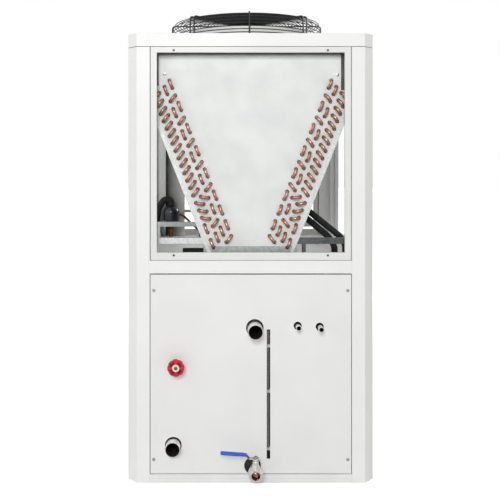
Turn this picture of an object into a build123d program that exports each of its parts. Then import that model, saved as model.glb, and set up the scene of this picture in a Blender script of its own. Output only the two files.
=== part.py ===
from build123d import *
import os
from math import atan2, cos, degrees, radians, sin, tan

# Air-cooled inverter chiller: a square white cabinet with a closed tank bay below,
# an open bay with two condenser coils in a V above, and one roof fan under a wire guard.
# Millimetres. +Z is up, the front with the water connections faces -Y,
# and the origin is the middle of the footprint on the ground.

os.makedirs("parts", exist_ok=True)

# Cabinet
CABINET_WIDTH = 1000.0
CABINET_DEPTH = 1000.0
POST_CHAMFER = 39.0
POST_FACE = 92.0
POST_LEG = 35.0
POST_WALL = 2.5
ROOF_CAP_HEIGHT = 53.0
BASE_HEIGHT = 35.0
BASE_RAIL_DEPTH = 42.0
BEARER_WIDTH = 60.0
BEARER_SPACING = 280.0
BEARER_COUNT = 3
LOWER_BAY_TOP = 843.0
CROSS_RAIL_HEIGHT = 54.0
SHEET = 2.0
PANEL_GAP = 3.0
PANEL_RECESS = 1.5
PANEL_FOLD = 20.0
REBATE_WIDTH = 22.0

# Window frames of the open bay
WINDOW_SIDE_BAR = 24.0
WINDOW_TOP_BAR = 24.0
WINDOW_BOTTOM_BAR = 32.0
WINDOW_FOLD = 14.0
WINDOW_GAP = 4.0

# Condenser coils; the heights above them follow from the coil's foot upwards
COIL_TILT = 21.7
TUBE_PITCH = 32.7
TUBE_ROWS = 4
TUBES_PER_ROW = 22
TUBE_DIAMETER = 12.7
TOP_TUBE_X = 326.3
COIL_FOOT_GAP = 25.4
END_PLATE_SETBACK = 50.0
SERVICE_DEPTH = 160.0
END_PLATE_THICKNESS = 3.0
END_PLATE_MARGIN = 18.0
END_PLATE_RISE = 95.1
END_PLATE_GAP = 17.0
PLATE_NOTCH_HALF = 60.0
PLATE_NOTCH_HEIGHT = 12.0
BEND_LEG = 5.0
PAN_HALF_WIDTH = 192.0
PAN_HEIGHT = 50.0
COIL_RAIL_RISE = 9.0
COIL_RAIL_HEIGHT = 24.0
COIL_RAIL_DEPTH = 28.0
COIL_RAIL_GAP = 1.0
REAR_RAIL_INSET = 50.0
RAIL_LEG_X = 221.0
RAIL_LEG_WIDTH = 14.0

# Tubes joined by the return bends, counted in tube steps from the topmost bend down
ALONG_INNER_STEPS = (0, 3, 6, 9, 12, 15, 17, 19)
ACROSS_INNER_STEPS = (1.5, 4.5, 7.5, 10.5, 13.5, 20.5)
ALONG_SECOND_STEPS = (0, 3, 6, 9, 12, 16, 19)
ACROSS_OUTER_COUNT = 14
LEVEL_OUTER_STEPS = (15, 16, 17)
SINGLE_BENDS = ((2, 14.5, 1, 15), (1, 18, 2, 18.5), (2, 19.5, 2, 20.5), (3, 18, 3, 19), (3, 20, 3, 21))

# Roof fan
FAN_RADIUS = 312.0
FAN_TIP_GAP = 8.0
FAN_DROP = 70.0
HUB_RADIUS = 105.0
HUB_HEIGHT = 90.0
BLADE_COUNT = 5
BLADE_THICKNESS = 6.0
BLADE_PITCH = 24.0
BLADE_ROOT_CHORD = 100.0
BLADE_TIP_CHORD = 150.0
BLADE_SWEEP = 55.0
BLADE_BOW = 22.0
BLADE_ROOT_DEPTH = 30.0
SHAFT_RADIUS = 12.0
SHAFT_MARGIN = 10.0
RUNNING_CLEARANCE = 0.05
SEAT_GAP = 0.3
MOTOR_RADIUS = 92.0
MOTOR_SIDES = 24
MOTOR_GAP = 12.0
BELLMOUTH_SIDES = 36
BELLMOUTH_FLANGE = 25.0
BELLMOUTH_DROP = 126.0
BELLMOUTH_RISE = 65.0
BELLMOUTH_FLARE = 12.0
BELLMOUTH_HOLE_GAP = 0.8
GUARD_GAP = 2.0
GUARD_HEIGHT = 123.5
GUARD_FIRST_RING = 33.0
GUARD_RING_PITCH = 13.6
GUARD_SIDE_RINGS = 6
GUARD_SHOULDER = 10.0
GUARD_WIRE = 4.0
GUARD_ROD = 7.0
GUARD_PAIR_SPACING = 25.0
GUARD_SIDES = 16
GUARD_TOP_SIDES = 10
GUARD_CENTRE_RADIUS = 100.0

# Water tank and connections
TANK_WIDTH = 760.0
TANK_DEPTH = 700.0
TANK_HEADROOM = 88.0
TANK_CORNER = 60.0
HOLE_CLEARANCE = 2.5
MAIN_PIPE_DIAMETER = 60.3
MAIN_PIPE_WALL = 2.9
SMALL_PIPE_DIAMETER = 21.3
SMALL_PIPE_WALL = 2.6
SMALL_HOLE_CLEARANCE = 5.5
OUTLET_X = 16.0
OUTLET_Z = 624.0
OUTLET_REACH = 70.0
INLET_INSET = 187.0
INLET_Z = 151.0
INLET_REACH = 45.0
FILL_INSET = 311.0
FILL_Z = 634.0
FILL_REACH = 45.0
OVERFLOW_INSET = 222.0
OVERFLOW_Z = 630.0
OVERFLOW_REACH = 52.0

# Level gauge behind its slot
SLOT_X = 71.2
SLOT_WIDTH = 13.8
SLOT_LOW = 97.0
SLOT_HIGH = 619.0
GAUGE_DIAMETER = 12.0
GAUGE_OVERLAP = 10.0
GAUGE_CLIPS = (128.0, 362.0, 546.0)
GAUGE_CLIP_HEIGHT = 12.0
GAUGE_CLIP_WIDTH = 22.0
GAUGE_CLIP_DEPTH = 18.0

# Bypass valve with its handwheel
BYPASS_INSET = 200.0
BYPASS_Z = 476.0
BYPASS_STEM_RADIUS = 5.0
BONNET_RADIUS = 15.0
BONNET_SIDES = 12
BONNET_REACH = 34.0
BYPASS_HOLE_CLEARANCE = 3.0
WHEEL_RADIUS = 34.0
WHEEL_LOBE_DEPTH = 2.5
WHEEL_RIM = 8.0
WHEEL_HUB_RADIUS = 15.0
WHEEL_THICKNESS = 12.0
WHEEL_LOBES = 8
WHEEL_SPOKES = 4
WHEEL_OPENING = 56.0
WHEEL_NUT_RADIUS = 7.0

# Drain ball valve with its lever
DRAIN_X = 16.0
DRAIN_Z = 69.0
DRAIN_HOLE_RADIUS = 34.0
DRAIN_HOLE_OFFSET = 9.0
DRAIN_PIPE_DIAMETER = 33.7
DRAIN_BORE_RADIUS = 12.5
DRAIN_HEX_RADIUS = 27.0
DRAIN_BODY_RADIUS = 31.0
DRAIN_END_RADIUS = 28.0
DRAIN_END_LENGTH = 14.0
DRAIN_SOCKET_RADIUS = 17.0
DRAIN_SOCKET_DEPTH = 12.0
DRAIN_BALL_RADIUS = 18.0
BALL_BANDS = (15, 45, 75, 105, 135, 165)
BALL_SIDES = 16
BALL_BORE_SIDES = 12
DRAIN_REACH = 100.0
DRAIN_BODY_LENGTH = 62.0
DRAIN_NECK_HEIGHT = 19.0
DRAIN_NECK_RADIUS = 12.0
DRAIN_GLAND_HEIGHT = 6.2
DRAIN_GLAND_RADIUS = 11.0
DRAIN_STEM_RADIUS = 5.0
DRAIN_NUT_RADIUS = 8.0
DRAIN_NUT_HEIGHT = 5.0
LEVER_PLATE_REACH = 26.0
LEVER_BACK_REACH = 12.0
LEVER_THICKNESS = 5.0
LEVER_KINK = 9.0
LEVER_KINK_RISE = 12.0
LEVER_LENGTH = 139.0
LEVER_WIDTH = 20.0
LEVER_GRIP_HEIGHT = 12.0
LEVER_GRIP_RISE = 7.0

# Refrigerant piping: paths as X and Z, on the deck and in the service space behind the coils
PIPE_SIDES = 10
FOAM_RADIUS = 14.0
FOAM_LEAD = 30.0
TWIN_PIPE_Y = -250.0
TWIN_UPPER_START = 1097.6
TWIN_UPPER_PATH = ((400.0, 970.0), (425.0, 935.0))
TWIN_LOWER_START = 1068.0
TWIN_LOWER_PATH = ((352.0, 966.0), (377.0, 925.0))
DECK_PIPE_Y = -325.0
DECK_PIPE_LENGTH = 92.0
RECEIVER_X = -383.0
RECEIVER_RADIUS = 42.0
RECEIVER_Z = 1022.0
RECEIVER_SKIRT = 42.0
RECEIVER_BANDS = (90, 115, 140, 165)
RECEIVER_SIDES = 24
RECEIVER_SETBACK = 48.3
RECEIVER_LEG_RADIUS = 14.0
ARC_RADIUS = 17.0
ARC_PATH = ((-383.0, 1090.0), (-420.0, 1096.0), (-452.0, 1050.0), (-462.0, 980.0))
LIQUID_RADIUS = 6.0
LIQUID_PATH = ((-326.0, 1014.0), (-232.0, 926.0))
LIQUID_START_Z = 1014.0
BRACKET_Z = 1014.0
BRACKET_HEIGHT = 21.0
BRACKET_THICKNESS = 6.0
BRACKET_FOOT_X = -208.0
DUCT_LEFT = -417.0
DUCT_WIDTH = 101.0
DUCT_DEPTH = 32.0
DUCT_BACK_GAP = 20.5
DUCT_CLIP_HEIGHTS = (1200.0, 1550.0)
DUCT_CLIP_HEIGHT = 30.0
DUCT_CLIP_WIDTH = 18.0
HEADER_RADIUS = 14.0
HEADER_STAND_OFF = 40.0
HEADER_ROW = 1.5
HEADER_STEPS = (2.0, 19.0)
HEADER_STUBS = (3.0, 8.0, 13.0, 18.0)

# Derived planes
half_width = CABINET_WIDTH / 2
half_depth = CABINET_DEPTH / 2
bay_half = half_width - POST_FACE
bay_half_depth = half_depth - POST_FACE
end_plate_y = half_depth - END_PLATE_SETBACK
rear_plate_y = half_depth - SERVICE_DEPTH
tilt = radians(COIL_TILT)
row_pitch = TUBE_PITCH * cos(radians(30))
first_step = -1.0
last_step = TUBES_PER_ROW - 0.5
fin_inner = -0.5
fin_outer = TUBE_ROWS - 0.5
cross_rail_top = LOWER_BAY_TOP + CROSS_RAIL_HEIGHT
pan_floor = cross_rail_top + SHEET
top_tube_z = (
    pan_floor
    + COIL_FOOT_GAP
    + last_step * TUBE_PITCH * cos(tilt)
    + fin_outer * row_pitch * sin(tilt)
)
coil_top = top_tube_z - first_step * TUBE_PITCH * cos(tilt) - fin_inner * row_pitch * sin(tilt)
end_plate_top = coil_top + END_PLATE_RISE
cap_bottom = end_plate_top + END_PLATE_GAP
cabinet_height = cap_bottom + ROOF_CAP_HEIGHT
fan_z = cabinet_height - FAN_DROP
throat_radius = FAN_RADIUS + FAN_TIP_GAP
inlet_x = INLET_INSET - half_width
bypass_x = BYPASS_INSET - half_width
fill_x = half_width - FILL_INSET
overflow_x = half_width - OVERFLOW_INSET


def save(part, name):
    part.label = name
    export_step(part, f"parts/{name}.step")


def banded_ball(place, radius, bands, sides):
    """A ball, or a dome, of flat bands between the given angles from its lowest point."""
    with BuildPart() as ball:
        for band in bands:
            height = place[2] - radius * cos(radians(band))
            with BuildSketch(Plane.XY.offset(height)):
                with Locations(place[:2]):
                    RegularPolygon(radius * sin(radians(band)), sides)
        loft(ruled=True)
    return ball.part


def tube_centre(row, steps):
    """X and Z of a tube of the right coil: row 0 is inside the V, steps count down its slope."""
    x = TOP_TUBE_X - steps * TUBE_PITCH * sin(tilt) + row * row_pitch * cos(tilt)
    z = top_tube_z - steps * TUBE_PITCH * cos(tilt) - row * row_pitch * sin(tilt)
    return x, z


# Base rails between the posts, and bearers across them under the tank
with BuildPart() as base_rails:
    with BuildSketch():
        with Locations((0, half_depth - BASE_RAIL_DEPTH / 2), (0, BASE_RAIL_DEPTH / 2 - half_depth)):
            Rectangle(2 * bay_half, BASE_RAIL_DEPTH)
        with Locations((half_width - BASE_RAIL_DEPTH / 2, 0), (BASE_RAIL_DEPTH / 2 - half_width, 0)):
            Rectangle(BASE_RAIL_DEPTH, 2 * bay_half_depth)
    extrude(amount=BASE_HEIGHT)
save(base_rails.part, "base_rails")

with BuildPart() as tank_bearers:
    with BuildSketch():
        with GridLocations(0, BEARER_SPACING, 1, BEARER_COUNT):
            Rectangle(CABINET_WIDTH - 2 * BASE_RAIL_DEPTH, BEARER_WIDTH)
    extrude(amount=BASE_HEIGHT)
save(tank_bearers.part, "tank_bearers")


# Corner posts: a hollow angle with its outer corner cut flat, and a rebate for the lower panels
def corner_post(side_x, side_y):
    corner_x = side_x * half_width
    corner_y = side_y * half_depth

    def at(inward_x, inward_y):
        return (corner_x - side_x * inward_x, corner_y - side_y * inward_y)

    with BuildPart() as post:
        with BuildSketch():
            with BuildLine():
                Polyline(
                    at(0, POST_CHAMFER),
                    at(POST_CHAMFER, 0),
                    at(POST_FACE, 0),
                    at(POST_FACE, POST_LEG),
                    at(POST_LEG, POST_LEG),
                    at(POST_LEG, POST_FACE),
                    at(0, POST_FACE),
                    close=True,
                )
            make_face()
            offset(amount=-POST_WALL, kind=Kind.INTERSECTION, mode=Mode.SUBTRACT)
        extrude(amount=cap_bottom)
        rebate_y = PANEL_RECESS + PANEL_FOLD + POST_WALL / 2
        rebate_x = POST_FACE + REBATE_WIDTH / 2 - POST_WALL / 2
        with BuildSketch(Plane.XY.offset(BASE_HEIGHT)):
            with Locations(at(rebate_x, rebate_y)):
                Rectangle(REBATE_WIDTH + POST_WALL, POST_WALL)
            with Locations(at(rebate_y, rebate_x)):
                Rectangle(POST_WALL, REBATE_WIDTH + POST_WALL)
        extrude(amount=LOWER_BAY_TOP - BASE_HEIGHT)
    return post.part


save(corner_post(-1, -1), "post_front_left")
save(corner_post(1, -1), "post_front_right")
save(corner_post(-1, 1), "post_rear_left")
save(corner_post(1, 1), "post_rear_right")


# Cross rails between the two bays: channels open to the inside
def cross_rail(length):
    """A rail along X with its outer face on Y = 0 and its inside towards +Y."""
    height = CROSS_RAIL_HEIGHT - SHEET
    with BuildPart() as rail:
        with BuildSketch(Plane.YZ):
            with Locations((POST_LEG / 2, LOWER_BAY_TOP + SHEET + height / 2)):
                Rectangle(POST_LEG, height)
            with Locations((POST_LEG / 2 + SHEET / 2, LOWER_BAY_TOP + SHEET + height / 2)):
                Rectangle(POST_LEG - SHEET, height - 2 * SHEET, mode=Mode.SUBTRACT)
        extrude(amount=length / 2, both=True)
    return rail.part


save(Pos(0, -half_depth, 0) * cross_rail(2 * bay_half), "cross_rail_front")
save(Pos(0, half_depth, 0) * Rot(0, 0, 180) * cross_rail(2 * bay_half), "cross_rail_rear")
save(Pos(-half_width, 0, 0) * Rot(0, 0, -90) * cross_rail(2 * bay_half_depth), "cross_rail_left")
save(Pos(half_width, 0, 0) * Rot(0, 0, 90) * cross_rail(2 * bay_half_depth), "cross_rail_right")

# Deck over the tank bay, cut back round the posts
with BuildPart() as deck:
    with BuildSketch(Plane.XY.offset(cross_rail_top)):
        Rectangle(CABINET_WIDTH - 2 * WINDOW_FOLD, 2 * bay_half_depth)
        Rectangle(2 * bay_half, CABINET_DEPTH - 2 * WINDOW_FOLD)
    extrude(amount=SHEET)
save(deck.part, "deck")

# Roof cap: a tray chamfered like the posts, its edge folded under, with the fan opening
cap_hole = throat_radius + SHEET + BELLMOUTH_HOLE_GAP
with BuildPart() as roof_cap:
    with BuildSketch(Plane.XY.offset(cap_bottom)) as cap_outline:
        Rectangle(CABINET_WIDTH, CABINET_DEPTH)
        chamfer(cap_outline.vertices(), length=POST_CHAMFER)
    extrude(amount=ROOF_CAP_HEIGHT)
    with BuildSketch(Plane.XY.offset(cap_bottom + SHEET)) as cap_inside:
        Rectangle(CABINET_WIDTH - 2 * SHEET, CABINET_DEPTH - 2 * SHEET)
        chamfer(cap_inside.vertices(), length=POST_CHAMFER)
    extrude(amount=ROOF_CAP_HEIGHT - 2 * SHEET, mode=Mode.SUBTRACT)
    with BuildSketch(Plane.XY.offset(cap_bottom)):
        Rectangle(CABINET_WIDTH - 2 * POST_FACE, CABINET_DEPTH - 2 * POST_FACE)
    extrude(amount=SHEET, mode=Mode.SUBTRACT)
    with BuildSketch(Plane.XY.offset(cap_bottom)):
        RegularPolygon(cap_hole, BELLMOUTH_SIDES, major_radius=False)
    extrude(amount=ROOF_CAP_HEIGHT, mode=Mode.SUBTRACT)
save(roof_cap.part, "roof_cap")


# Window frames: folded sheet round the open bay
def window_frame(opening_half):
    """A frame with its outer face on Y = 0 and its folds towards +Y."""
    low = pan_floor
    high = cap_bottom
    outer_width = 2 * (opening_half + WINDOW_SIDE_BAR)
    middle = (low + high) / 2
    inner_low = low + WINDOW_BOTTOM_BAR - SHEET
    inner_high = high - WINDOW_TOP_BAR
    with BuildPart() as frame:
        with BuildSketch(Plane.XZ):
            with Locations((0, middle)):
                Rectangle(outer_width, high - low)
            with Locations((0, (inner_low + inner_high) / 2)):
                Rectangle(2 * opening_half, inner_high - inner_low, mode=Mode.SUBTRACT)
        extrude(amount=-WINDOW_FOLD)
    return frame.part


front_opening = bay_half - WINDOW_GAP - WINDOW_SIDE_BAR
side_opening = bay_half_depth - WINDOW_GAP - WINDOW_SIDE_BAR
save(Pos(0, PANEL_RECESS - half_depth, 0) * window_frame(front_opening), "window_frame_front")
save(Pos(0, half_depth - PANEL_RECESS, 0) * Rot(0, 0, 180) * window_frame(front_opening), "window_frame_rear")
save(Pos(PANEL_RECESS - half_width, 0, 0) * Rot(0, 0, -90) * window_frame(side_opening), "window_frame_left")
save(Pos(half_width - PANEL_RECESS, 0, 0) * Rot(0, 0, 90) * window_frame(side_opening), "window_frame_right")


# Lower panels: trays that sit against the rebates of the posts
def lower_panel(half_opening):
    """A plain tray with its outer face on Y = 0 and its folds towards +Y."""
    low = BASE_HEIGHT + PANEL_GAP
    high = LOWER_BAY_TOP - PANEL_GAP
    width = 2 * (half_opening - PANEL_GAP)
    with BuildPart() as panel:
        with BuildSketch(Plane.XZ):
            with Locations((0, (low + high) / 2)):
                Rectangle(width, high - low)
        extrude(amount=-PANEL_FOLD)
        with BuildSketch(Plane.XZ.offset(-SHEET)):
            with Locations((0, (low + high) / 2)):
                Rectangle(width - 2 * SHEET, high - low - 2 * SHEET)
        extrude(amount=SHEET - PANEL_FOLD, mode=Mode.SUBTRACT)
    return panel.part


front_face = PANEL_RECESS - half_depth
with BuildPart() as panel_front:
    add(Pos(0, front_face, 0) * lower_panel(bay_half))
    with BuildSketch(Plane.XZ.offset(half_depth)):
        with Locations((OUTLET_X, OUTLET_Z), (inlet_x, INLET_Z)):
            Circle(MAIN_PIPE_DIAMETER / 2 + HOLE_CLEARANCE)
        with Locations((fill_x, FILL_Z), (overflow_x, OVERFLOW_Z)):
            Circle(SMALL_PIPE_DIAMETER / 2 + SMALL_HOLE_CLEARANCE)
        with Locations((bypass_x, BYPASS_Z)):
            Circle(BONNET_RADIUS + BYPASS_HOLE_CLEARANCE)
        with Locations((DRAIN_X - DRAIN_HOLE_OFFSET, DRAIN_Z)):
            Circle(DRAIN_HOLE_RADIUS)
        with Locations((SLOT_X, (SLOT_LOW + SLOT_HIGH) / 2)):
            Rectangle(SLOT_WIDTH, SLOT_HIGH - SLOT_LOW)
    extrude(amount=-2 * PANEL_FOLD, mode=Mode.SUBTRACT)
save(panel_front.part, "panel_front")
save(Pos(0, -front_face, 0) * Rot(0, 0, 180) * lower_panel(bay_half), "panel_rear")
save(Pos(PANEL_RECESS - half_width, 0, 0) * Rot(0, 0, -90) * lower_panel(bay_half_depth), "panel_left")
save(Pos(half_width - PANEL_RECESS, 0, 0) * Rot(0, 0, 90) * lower_panel(bay_half_depth), "panel_right")

# Insulated water tank on the bearers
tank_front = -TANK_DEPTH / 2
with BuildPart() as water_tank:
    with BuildSketch(Plane.XY.offset(BASE_HEIGHT)) as tank_outline:
        Rectangle(TANK_WIDTH, TANK_DEPTH)
        fillet(tank_outline.vertices(), TANK_CORNER)
    extrude(amount=LOWER_BAY_TOP - TANK_HEADROOM - BASE_HEIGHT)
save(water_tank.part, "water_tank")


# Coils: finned blocks between the two end plates
def coil_outline(side, inner, outer, first, last):
    """Corners of a coil's section; side is 1 for the right coil, measures follow its tubes."""

    def corner(row, steps):
        x, z = tube_centre(row, steps)
        return (side * x, z)

    return [corner(inner, first), corner(outer, first), corner(outer, last), corner(inner, last)]


coil_front = end_plate_y - END_PLATE_THICKNESS
coil_rear = rear_plate_y - END_PLATE_THICKNESS


def coil_block(side):
    """The finned block of one coil, from the front end plate to the rear one."""
    with BuildPart() as block:
        with BuildSketch(Plane.XZ.offset(coil_front)):
            with BuildLine():
                Polyline(*coil_outline(side, fin_inner, fin_outer, first_step, last_step), close=True)
            make_face()
        extrude(amount=-coil_front - coil_rear)
    return block.part


save(coil_block(-1), "coil_left")
save(coil_block(1), "coil_right")

# End plates: one sheet across the V at each end of the coils, the rear one notched over the pan
plate_bottom = pan_floor + PAN_HEIGHT
edge_row = fin_outer + END_PLATE_MARGIN / row_pitch
edge_top_x, edge_top_z = tube_centre(edge_row, first_step)
edge_foot_x = edge_top_x - (edge_top_z - plate_bottom) * tan(tilt)
with BuildPart() as end_plate:
    with BuildSketch(Plane.XZ):
        with BuildLine():
            Polyline(
                (edge_foot_x, plate_bottom),
                (edge_top_x, edge_top_z),
                (edge_top_x, end_plate_top),
                (-edge_top_x, end_plate_top),
                (-edge_top_x, edge_top_z),
                (-edge_foot_x, plate_bottom),
                close=True,
            )
        make_face()
    extrude(amount=END_PLATE_THICKNESS)
save(Pos(0, -coil_front, 0) * end_plate.part, "end_plate_front")
with BuildPart() as end_plate_rear:
    add(Pos(0, rear_plate_y, 0) * end_plate.part)
    with BuildSketch(Plane.XZ.offset(-rear_plate_y)):
        with Locations((0, plate_bottom)):
            Rectangle(2 * PLATE_NOTCH_HALF, 2 * PLATE_NOTCH_HEIGHT)
    extrude(amount=END_PLATE_THICKNESS, mode=Mode.SUBTRACT)
save(end_plate_rear.part, "end_plate_rear")

# Return bends: each joins two tubes, given by row and by tube steps
BENDS = [(0, s - 0.5, 0, s + 0.5) for s in ALONG_INNER_STEPS]
BENDS += [(0, s, 1, s + 0.5) for s in ACROSS_INNER_STEPS]
BENDS += [(1, s, 1, s + 1) for s in ALONG_SECOND_STEPS]
BENDS += [(2, s + 0.5, 3, s + 1) for s in range(ACROSS_OUTER_COUNT)]
BENDS += [(2, s + 0.5, 3, s) for s in LEVEL_OUTER_STEPS]
BENDS += list(SINGLE_BENDS)

bend_outer = (TUBE_PITCH + TUBE_DIAMETER) / 2
bend_inner = (TUBE_PITCH - TUBE_DIAMETER) / 2
bend_corner = bend_outer * tan(radians(22.5))
with BuildPart() as bend:
    with BuildSketch(Plane.XY):
        with BuildLine():
            Polyline(
                (bend_outer, 0),
                (bend_outer, -bend_corner - BEND_LEG),
                (bend_corner, -bend_outer - BEND_LEG),
                (-bend_corner, -bend_outer - BEND_LEG),
                (-bend_outer, -bend_corner - BEND_LEG),
                (-bend_outer, 0),
                (-bend_inner, 0),
                (-bend_inner / 2, -bend_inner - BEND_LEG),
                (bend_inner / 2, -bend_inner - BEND_LEG),
                (bend_inner, 0),
                close=True,
            )
        make_face()
    extrude(amount=TUBE_DIAMETER / 2, both=True)


def bend_place(side, row_a, step_a, row_b, step_b):
    """Where a bend stands on the front end plate, turned towards the two tubes it joins."""
    ax, az = tube_centre(row_a, step_a)
    bx, bz = tube_centre(row_b, step_b)
    turn = degrees(atan2(bz - az, side * (bx - ax)))
    return Location((side * (ax + bx) / 2, -end_plate_y, (az + bz) / 2), (0, -turn, 0))


def return_bends(side):
    """The U-bends of one coil's front end."""
    with BuildPart() as bends:
        with Locations([bend_place(side, *tubes) for tubes in BENDS]):
            add(bend.part)
    return bends.part


save(return_bends(-1), "return_bends_left")
save(return_bends(1), "return_bends_right")

# Drain pan: a trough under the V, whose end walls carry the end plates
with BuildPart() as drain_pan:
    with BuildSketch(Plane.XY.offset(pan_floor)):
        Rectangle(2 * PAN_HALF_WIDTH, 2 * end_plate_y)
    extrude(amount=PAN_HEIGHT)
    with BuildSketch(Plane.XY.offset(pan_floor + SHEET)):
        Rectangle(2 * (PAN_HALF_WIDTH - SHEET), 2 * (end_plate_y - SHEET))
    extrude(amount=PAN_HEIGHT, mode=Mode.SUBTRACT)
save(drain_pan.part, "drain_pan")

# Coil rails: bars from the sides to the end plates, on the deck by a leg where no post holds them
rail_low = plate_bottom + COIL_RAIL_RISE
rail_low_x = tube_centre(fin_outer, 0)[0] - (tube_centre(fin_outer, 0)[1] - rail_low) * tan(tilt)
rail_high_x = rail_low_x + COIL_RAIL_HEIGHT * tan(tilt)
leg_height = rail_low - pan_floor
with BuildPart() as coil_rails:
    for side in (-1, 1):
        for start, depth, outer in (
            (-coil_front, -COIL_RAIL_DEPTH, half_width - POST_LEG),
            (coil_rear, COIL_RAIL_DEPTH, half_width - REAR_RAIL_INSET),
        ):
            with BuildSketch(Plane.XZ.offset(-start)):
                with BuildLine():
                    Polyline(
                        (side * outer, rail_low),
                        (side * (rail_low_x + COIL_RAIL_GAP), rail_low),
                        (side * (rail_high_x + COIL_RAIL_GAP), rail_low + COIL_RAIL_HEIGHT),
                        (side * outer, rail_low + COIL_RAIL_HEIGHT),
                        close=True,
                    )
                make_face()
            extrude(amount=depth)
    rear_leg_x = half_width - REAR_RAIL_INSET - RAIL_LEG_WIDTH / 2
    with BuildSketch(Plane.XY.offset(pan_floor)):
        with Locations((RAIL_LEG_X, COIL_RAIL_DEPTH / 2 - coil_front)):
            Rectangle(RAIL_LEG_WIDTH, COIL_RAIL_DEPTH)
        with Locations(
            (-rear_leg_x, coil_rear - COIL_RAIL_DEPTH / 2),
            (rear_leg_x, coil_rear - COIL_RAIL_DEPTH / 2),
        ):
            Rectangle(RAIL_LEG_WIDTH, COIL_RAIL_DEPTH)
    extrude(amount=leg_height)
save(coil_rails.part, "coil_rails")

# Bellmouth: a flanged ring on the cap with its collar above the roof and its flare below
bell_low = cabinet_height - BELLMOUTH_DROP
bell_straight = bell_low + BELLMOUTH_FLARE
collar_top = cabinet_height + BELLMOUTH_RISE


def ring_sketch(apothem):
    """A many-sided outline of the bellmouth whose flats touch the circle of that radius."""
    return RegularPolygon(apothem, BELLMOUTH_SIDES, major_radius=False)


with BuildPart() as bellmouth:
    for widening, cut in ((SHEET, Mode.ADD), (0, Mode.SUBTRACT)):
        with BuildSketch(Plane.XY.offset(bell_low)):
            ring_sketch(throat_radius + BELLMOUTH_FLARE + widening)
        with BuildSketch(Plane.XY.offset(bell_straight)):
            ring_sketch(throat_radius + widening)
        loft(ruled=True, mode=cut)
    with BuildSketch(Plane.XY.offset(bell_straight)):
        ring_sketch(throat_radius + SHEET)
        add(RegularPolygon(throat_radius, BELLMOUTH_SIDES, major_radius=False), mode=Mode.SUBTRACT)
    extrude(amount=collar_top - bell_straight)
    with BuildSketch(Plane.XY.offset(cabinet_height)):
        ring_sketch(throat_radius + BELLMOUTH_FLANGE)
        add(RegularPolygon(throat_radius, BELLMOUTH_SIDES, major_radius=False), mode=Mode.SUBTRACT)
    extrude(amount=SHEET)
save(bellmouth.part, "fan_bellmouth")

# Fan guard: rods from the cap to a centre plate, single ones square to the cabinet and pairs between
guard_top = cabinet_height + GUARD_HEIGHT
rod_low = guard_top - GUARD_ROD
rod_inner = throat_radius + BELLMOUTH_FLANGE + GUARD_GAP
guard_radius = rod_inner + GUARD_ROD
mitre = GUARD_ROD * tan(radians(22.5))
pair = GUARD_PAIR_SPACING / 2
rod_places = [Location((0, 0, 0), (0, 0, turn)) for turn in (0, 90, 180, 270)]
rod_places += [
    Location((0, 0, 0), (0, 0, turn)) * Location((0, shift, 0))
    for turn in (45, 135, 225, 315)
    for shift in (-pair, pair)
]
with BuildPart() as rod:
    with BuildSketch(Plane.XZ):
        with BuildLine():
            Polyline(
                (rod_inner, cabinet_height),
                (guard_radius, cabinet_height),
                (guard_radius, guard_top - GUARD_SHOULDER),
                (guard_radius - GUARD_SHOULDER, guard_top),
                (GUARD_CENTRE_RADIUS - GUARD_ROD, guard_top),
                (GUARD_CENTRE_RADIUS - GUARD_ROD, rod_low),
                (guard_radius - GUARD_SHOULDER - mitre, rod_low),
                (rod_inner, guard_top - GUARD_SHOULDER - mitre),
                close=True,
            )
        make_face()
    extrude(amount=GUARD_ROD / 2, both=True)
flat_turn = 180 / GUARD_SIDES
with BuildPart() as fan_guard:
    with BuildSketch(Plane.XY.offset(rod_low - GUARD_WIRE / 2)):
        RegularPolygon(GUARD_CENTRE_RADIUS, GUARD_SIDES, rotation=flat_turn)
    extrude(amount=GUARD_WIRE)
    with Locations(rod_places):
        add(rod.part)
save(fan_guard.part, "fan_guard")

# Side rings of the guard, their flats against the rods
with BuildPart() as guard_bands:
    for ring in range(GUARD_SIDE_RINGS):
        ring_z = cabinet_height + GUARD_FIRST_RING + ring * GUARD_RING_PITCH - GUARD_WIRE / 2
        with BuildSketch(Plane.XY.offset(ring_z)):
            RegularPolygon(rod_inner, GUARD_SIDES, major_radius=False, rotation=flat_turn)
            RegularPolygon(
                rod_inner - GUARD_WIRE,
                GUARD_SIDES,
                major_radius=False,
                rotation=flat_turn,
                mode=Mode.SUBTRACT,
            )
        extrude(amount=GUARD_WIRE)
save(guard_bands.part, "fan_guard_bands")

# Top rings of the guard, flat under the rods
top_radius = guard_radius - GUARD_SHOULDER - mitre
top_rings = int((top_radius - GUARD_CENTRE_RADIUS) // GUARD_RING_PITCH) + 1
with BuildPart() as guard_rings:
    for ring in range(top_rings):
        ring_radius = top_radius - ring * GUARD_RING_PITCH
        with BuildSketch(Plane.XY.offset(rod_low - GUARD_WIRE)):
            RegularPolygon(ring_radius, GUARD_TOP_SIDES)
            RegularPolygon(ring_radius - GUARD_WIRE, GUARD_TOP_SIDES, mode=Mode.SUBTRACT)
        extrude(amount=GUARD_WIRE)
save(guard_rings.part, "fan_guard_rings")

# Fan motor hangs from the guard's centre plate
hub_low = fan_z - HUB_HEIGHT / 2
motor_low = hub_low + HUB_HEIGHT + MOTOR_GAP
with BuildPart() as fan_motor:
    with BuildSketch(Plane.XY.offset(motor_low)):
        RegularPolygon(MOTOR_RADIUS, MOTOR_SIDES)
    extrude(amount=rod_low - GUARD_WIRE / 2 - motor_low)
    with BuildSketch(Plane.XY.offset(hub_low + SHAFT_MARGIN)):
        Circle(SHAFT_RADIUS)
    extrude(amount=motor_low - hub_low - SHAFT_MARGIN)
save(fan_motor.part, "fan_motor")

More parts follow.
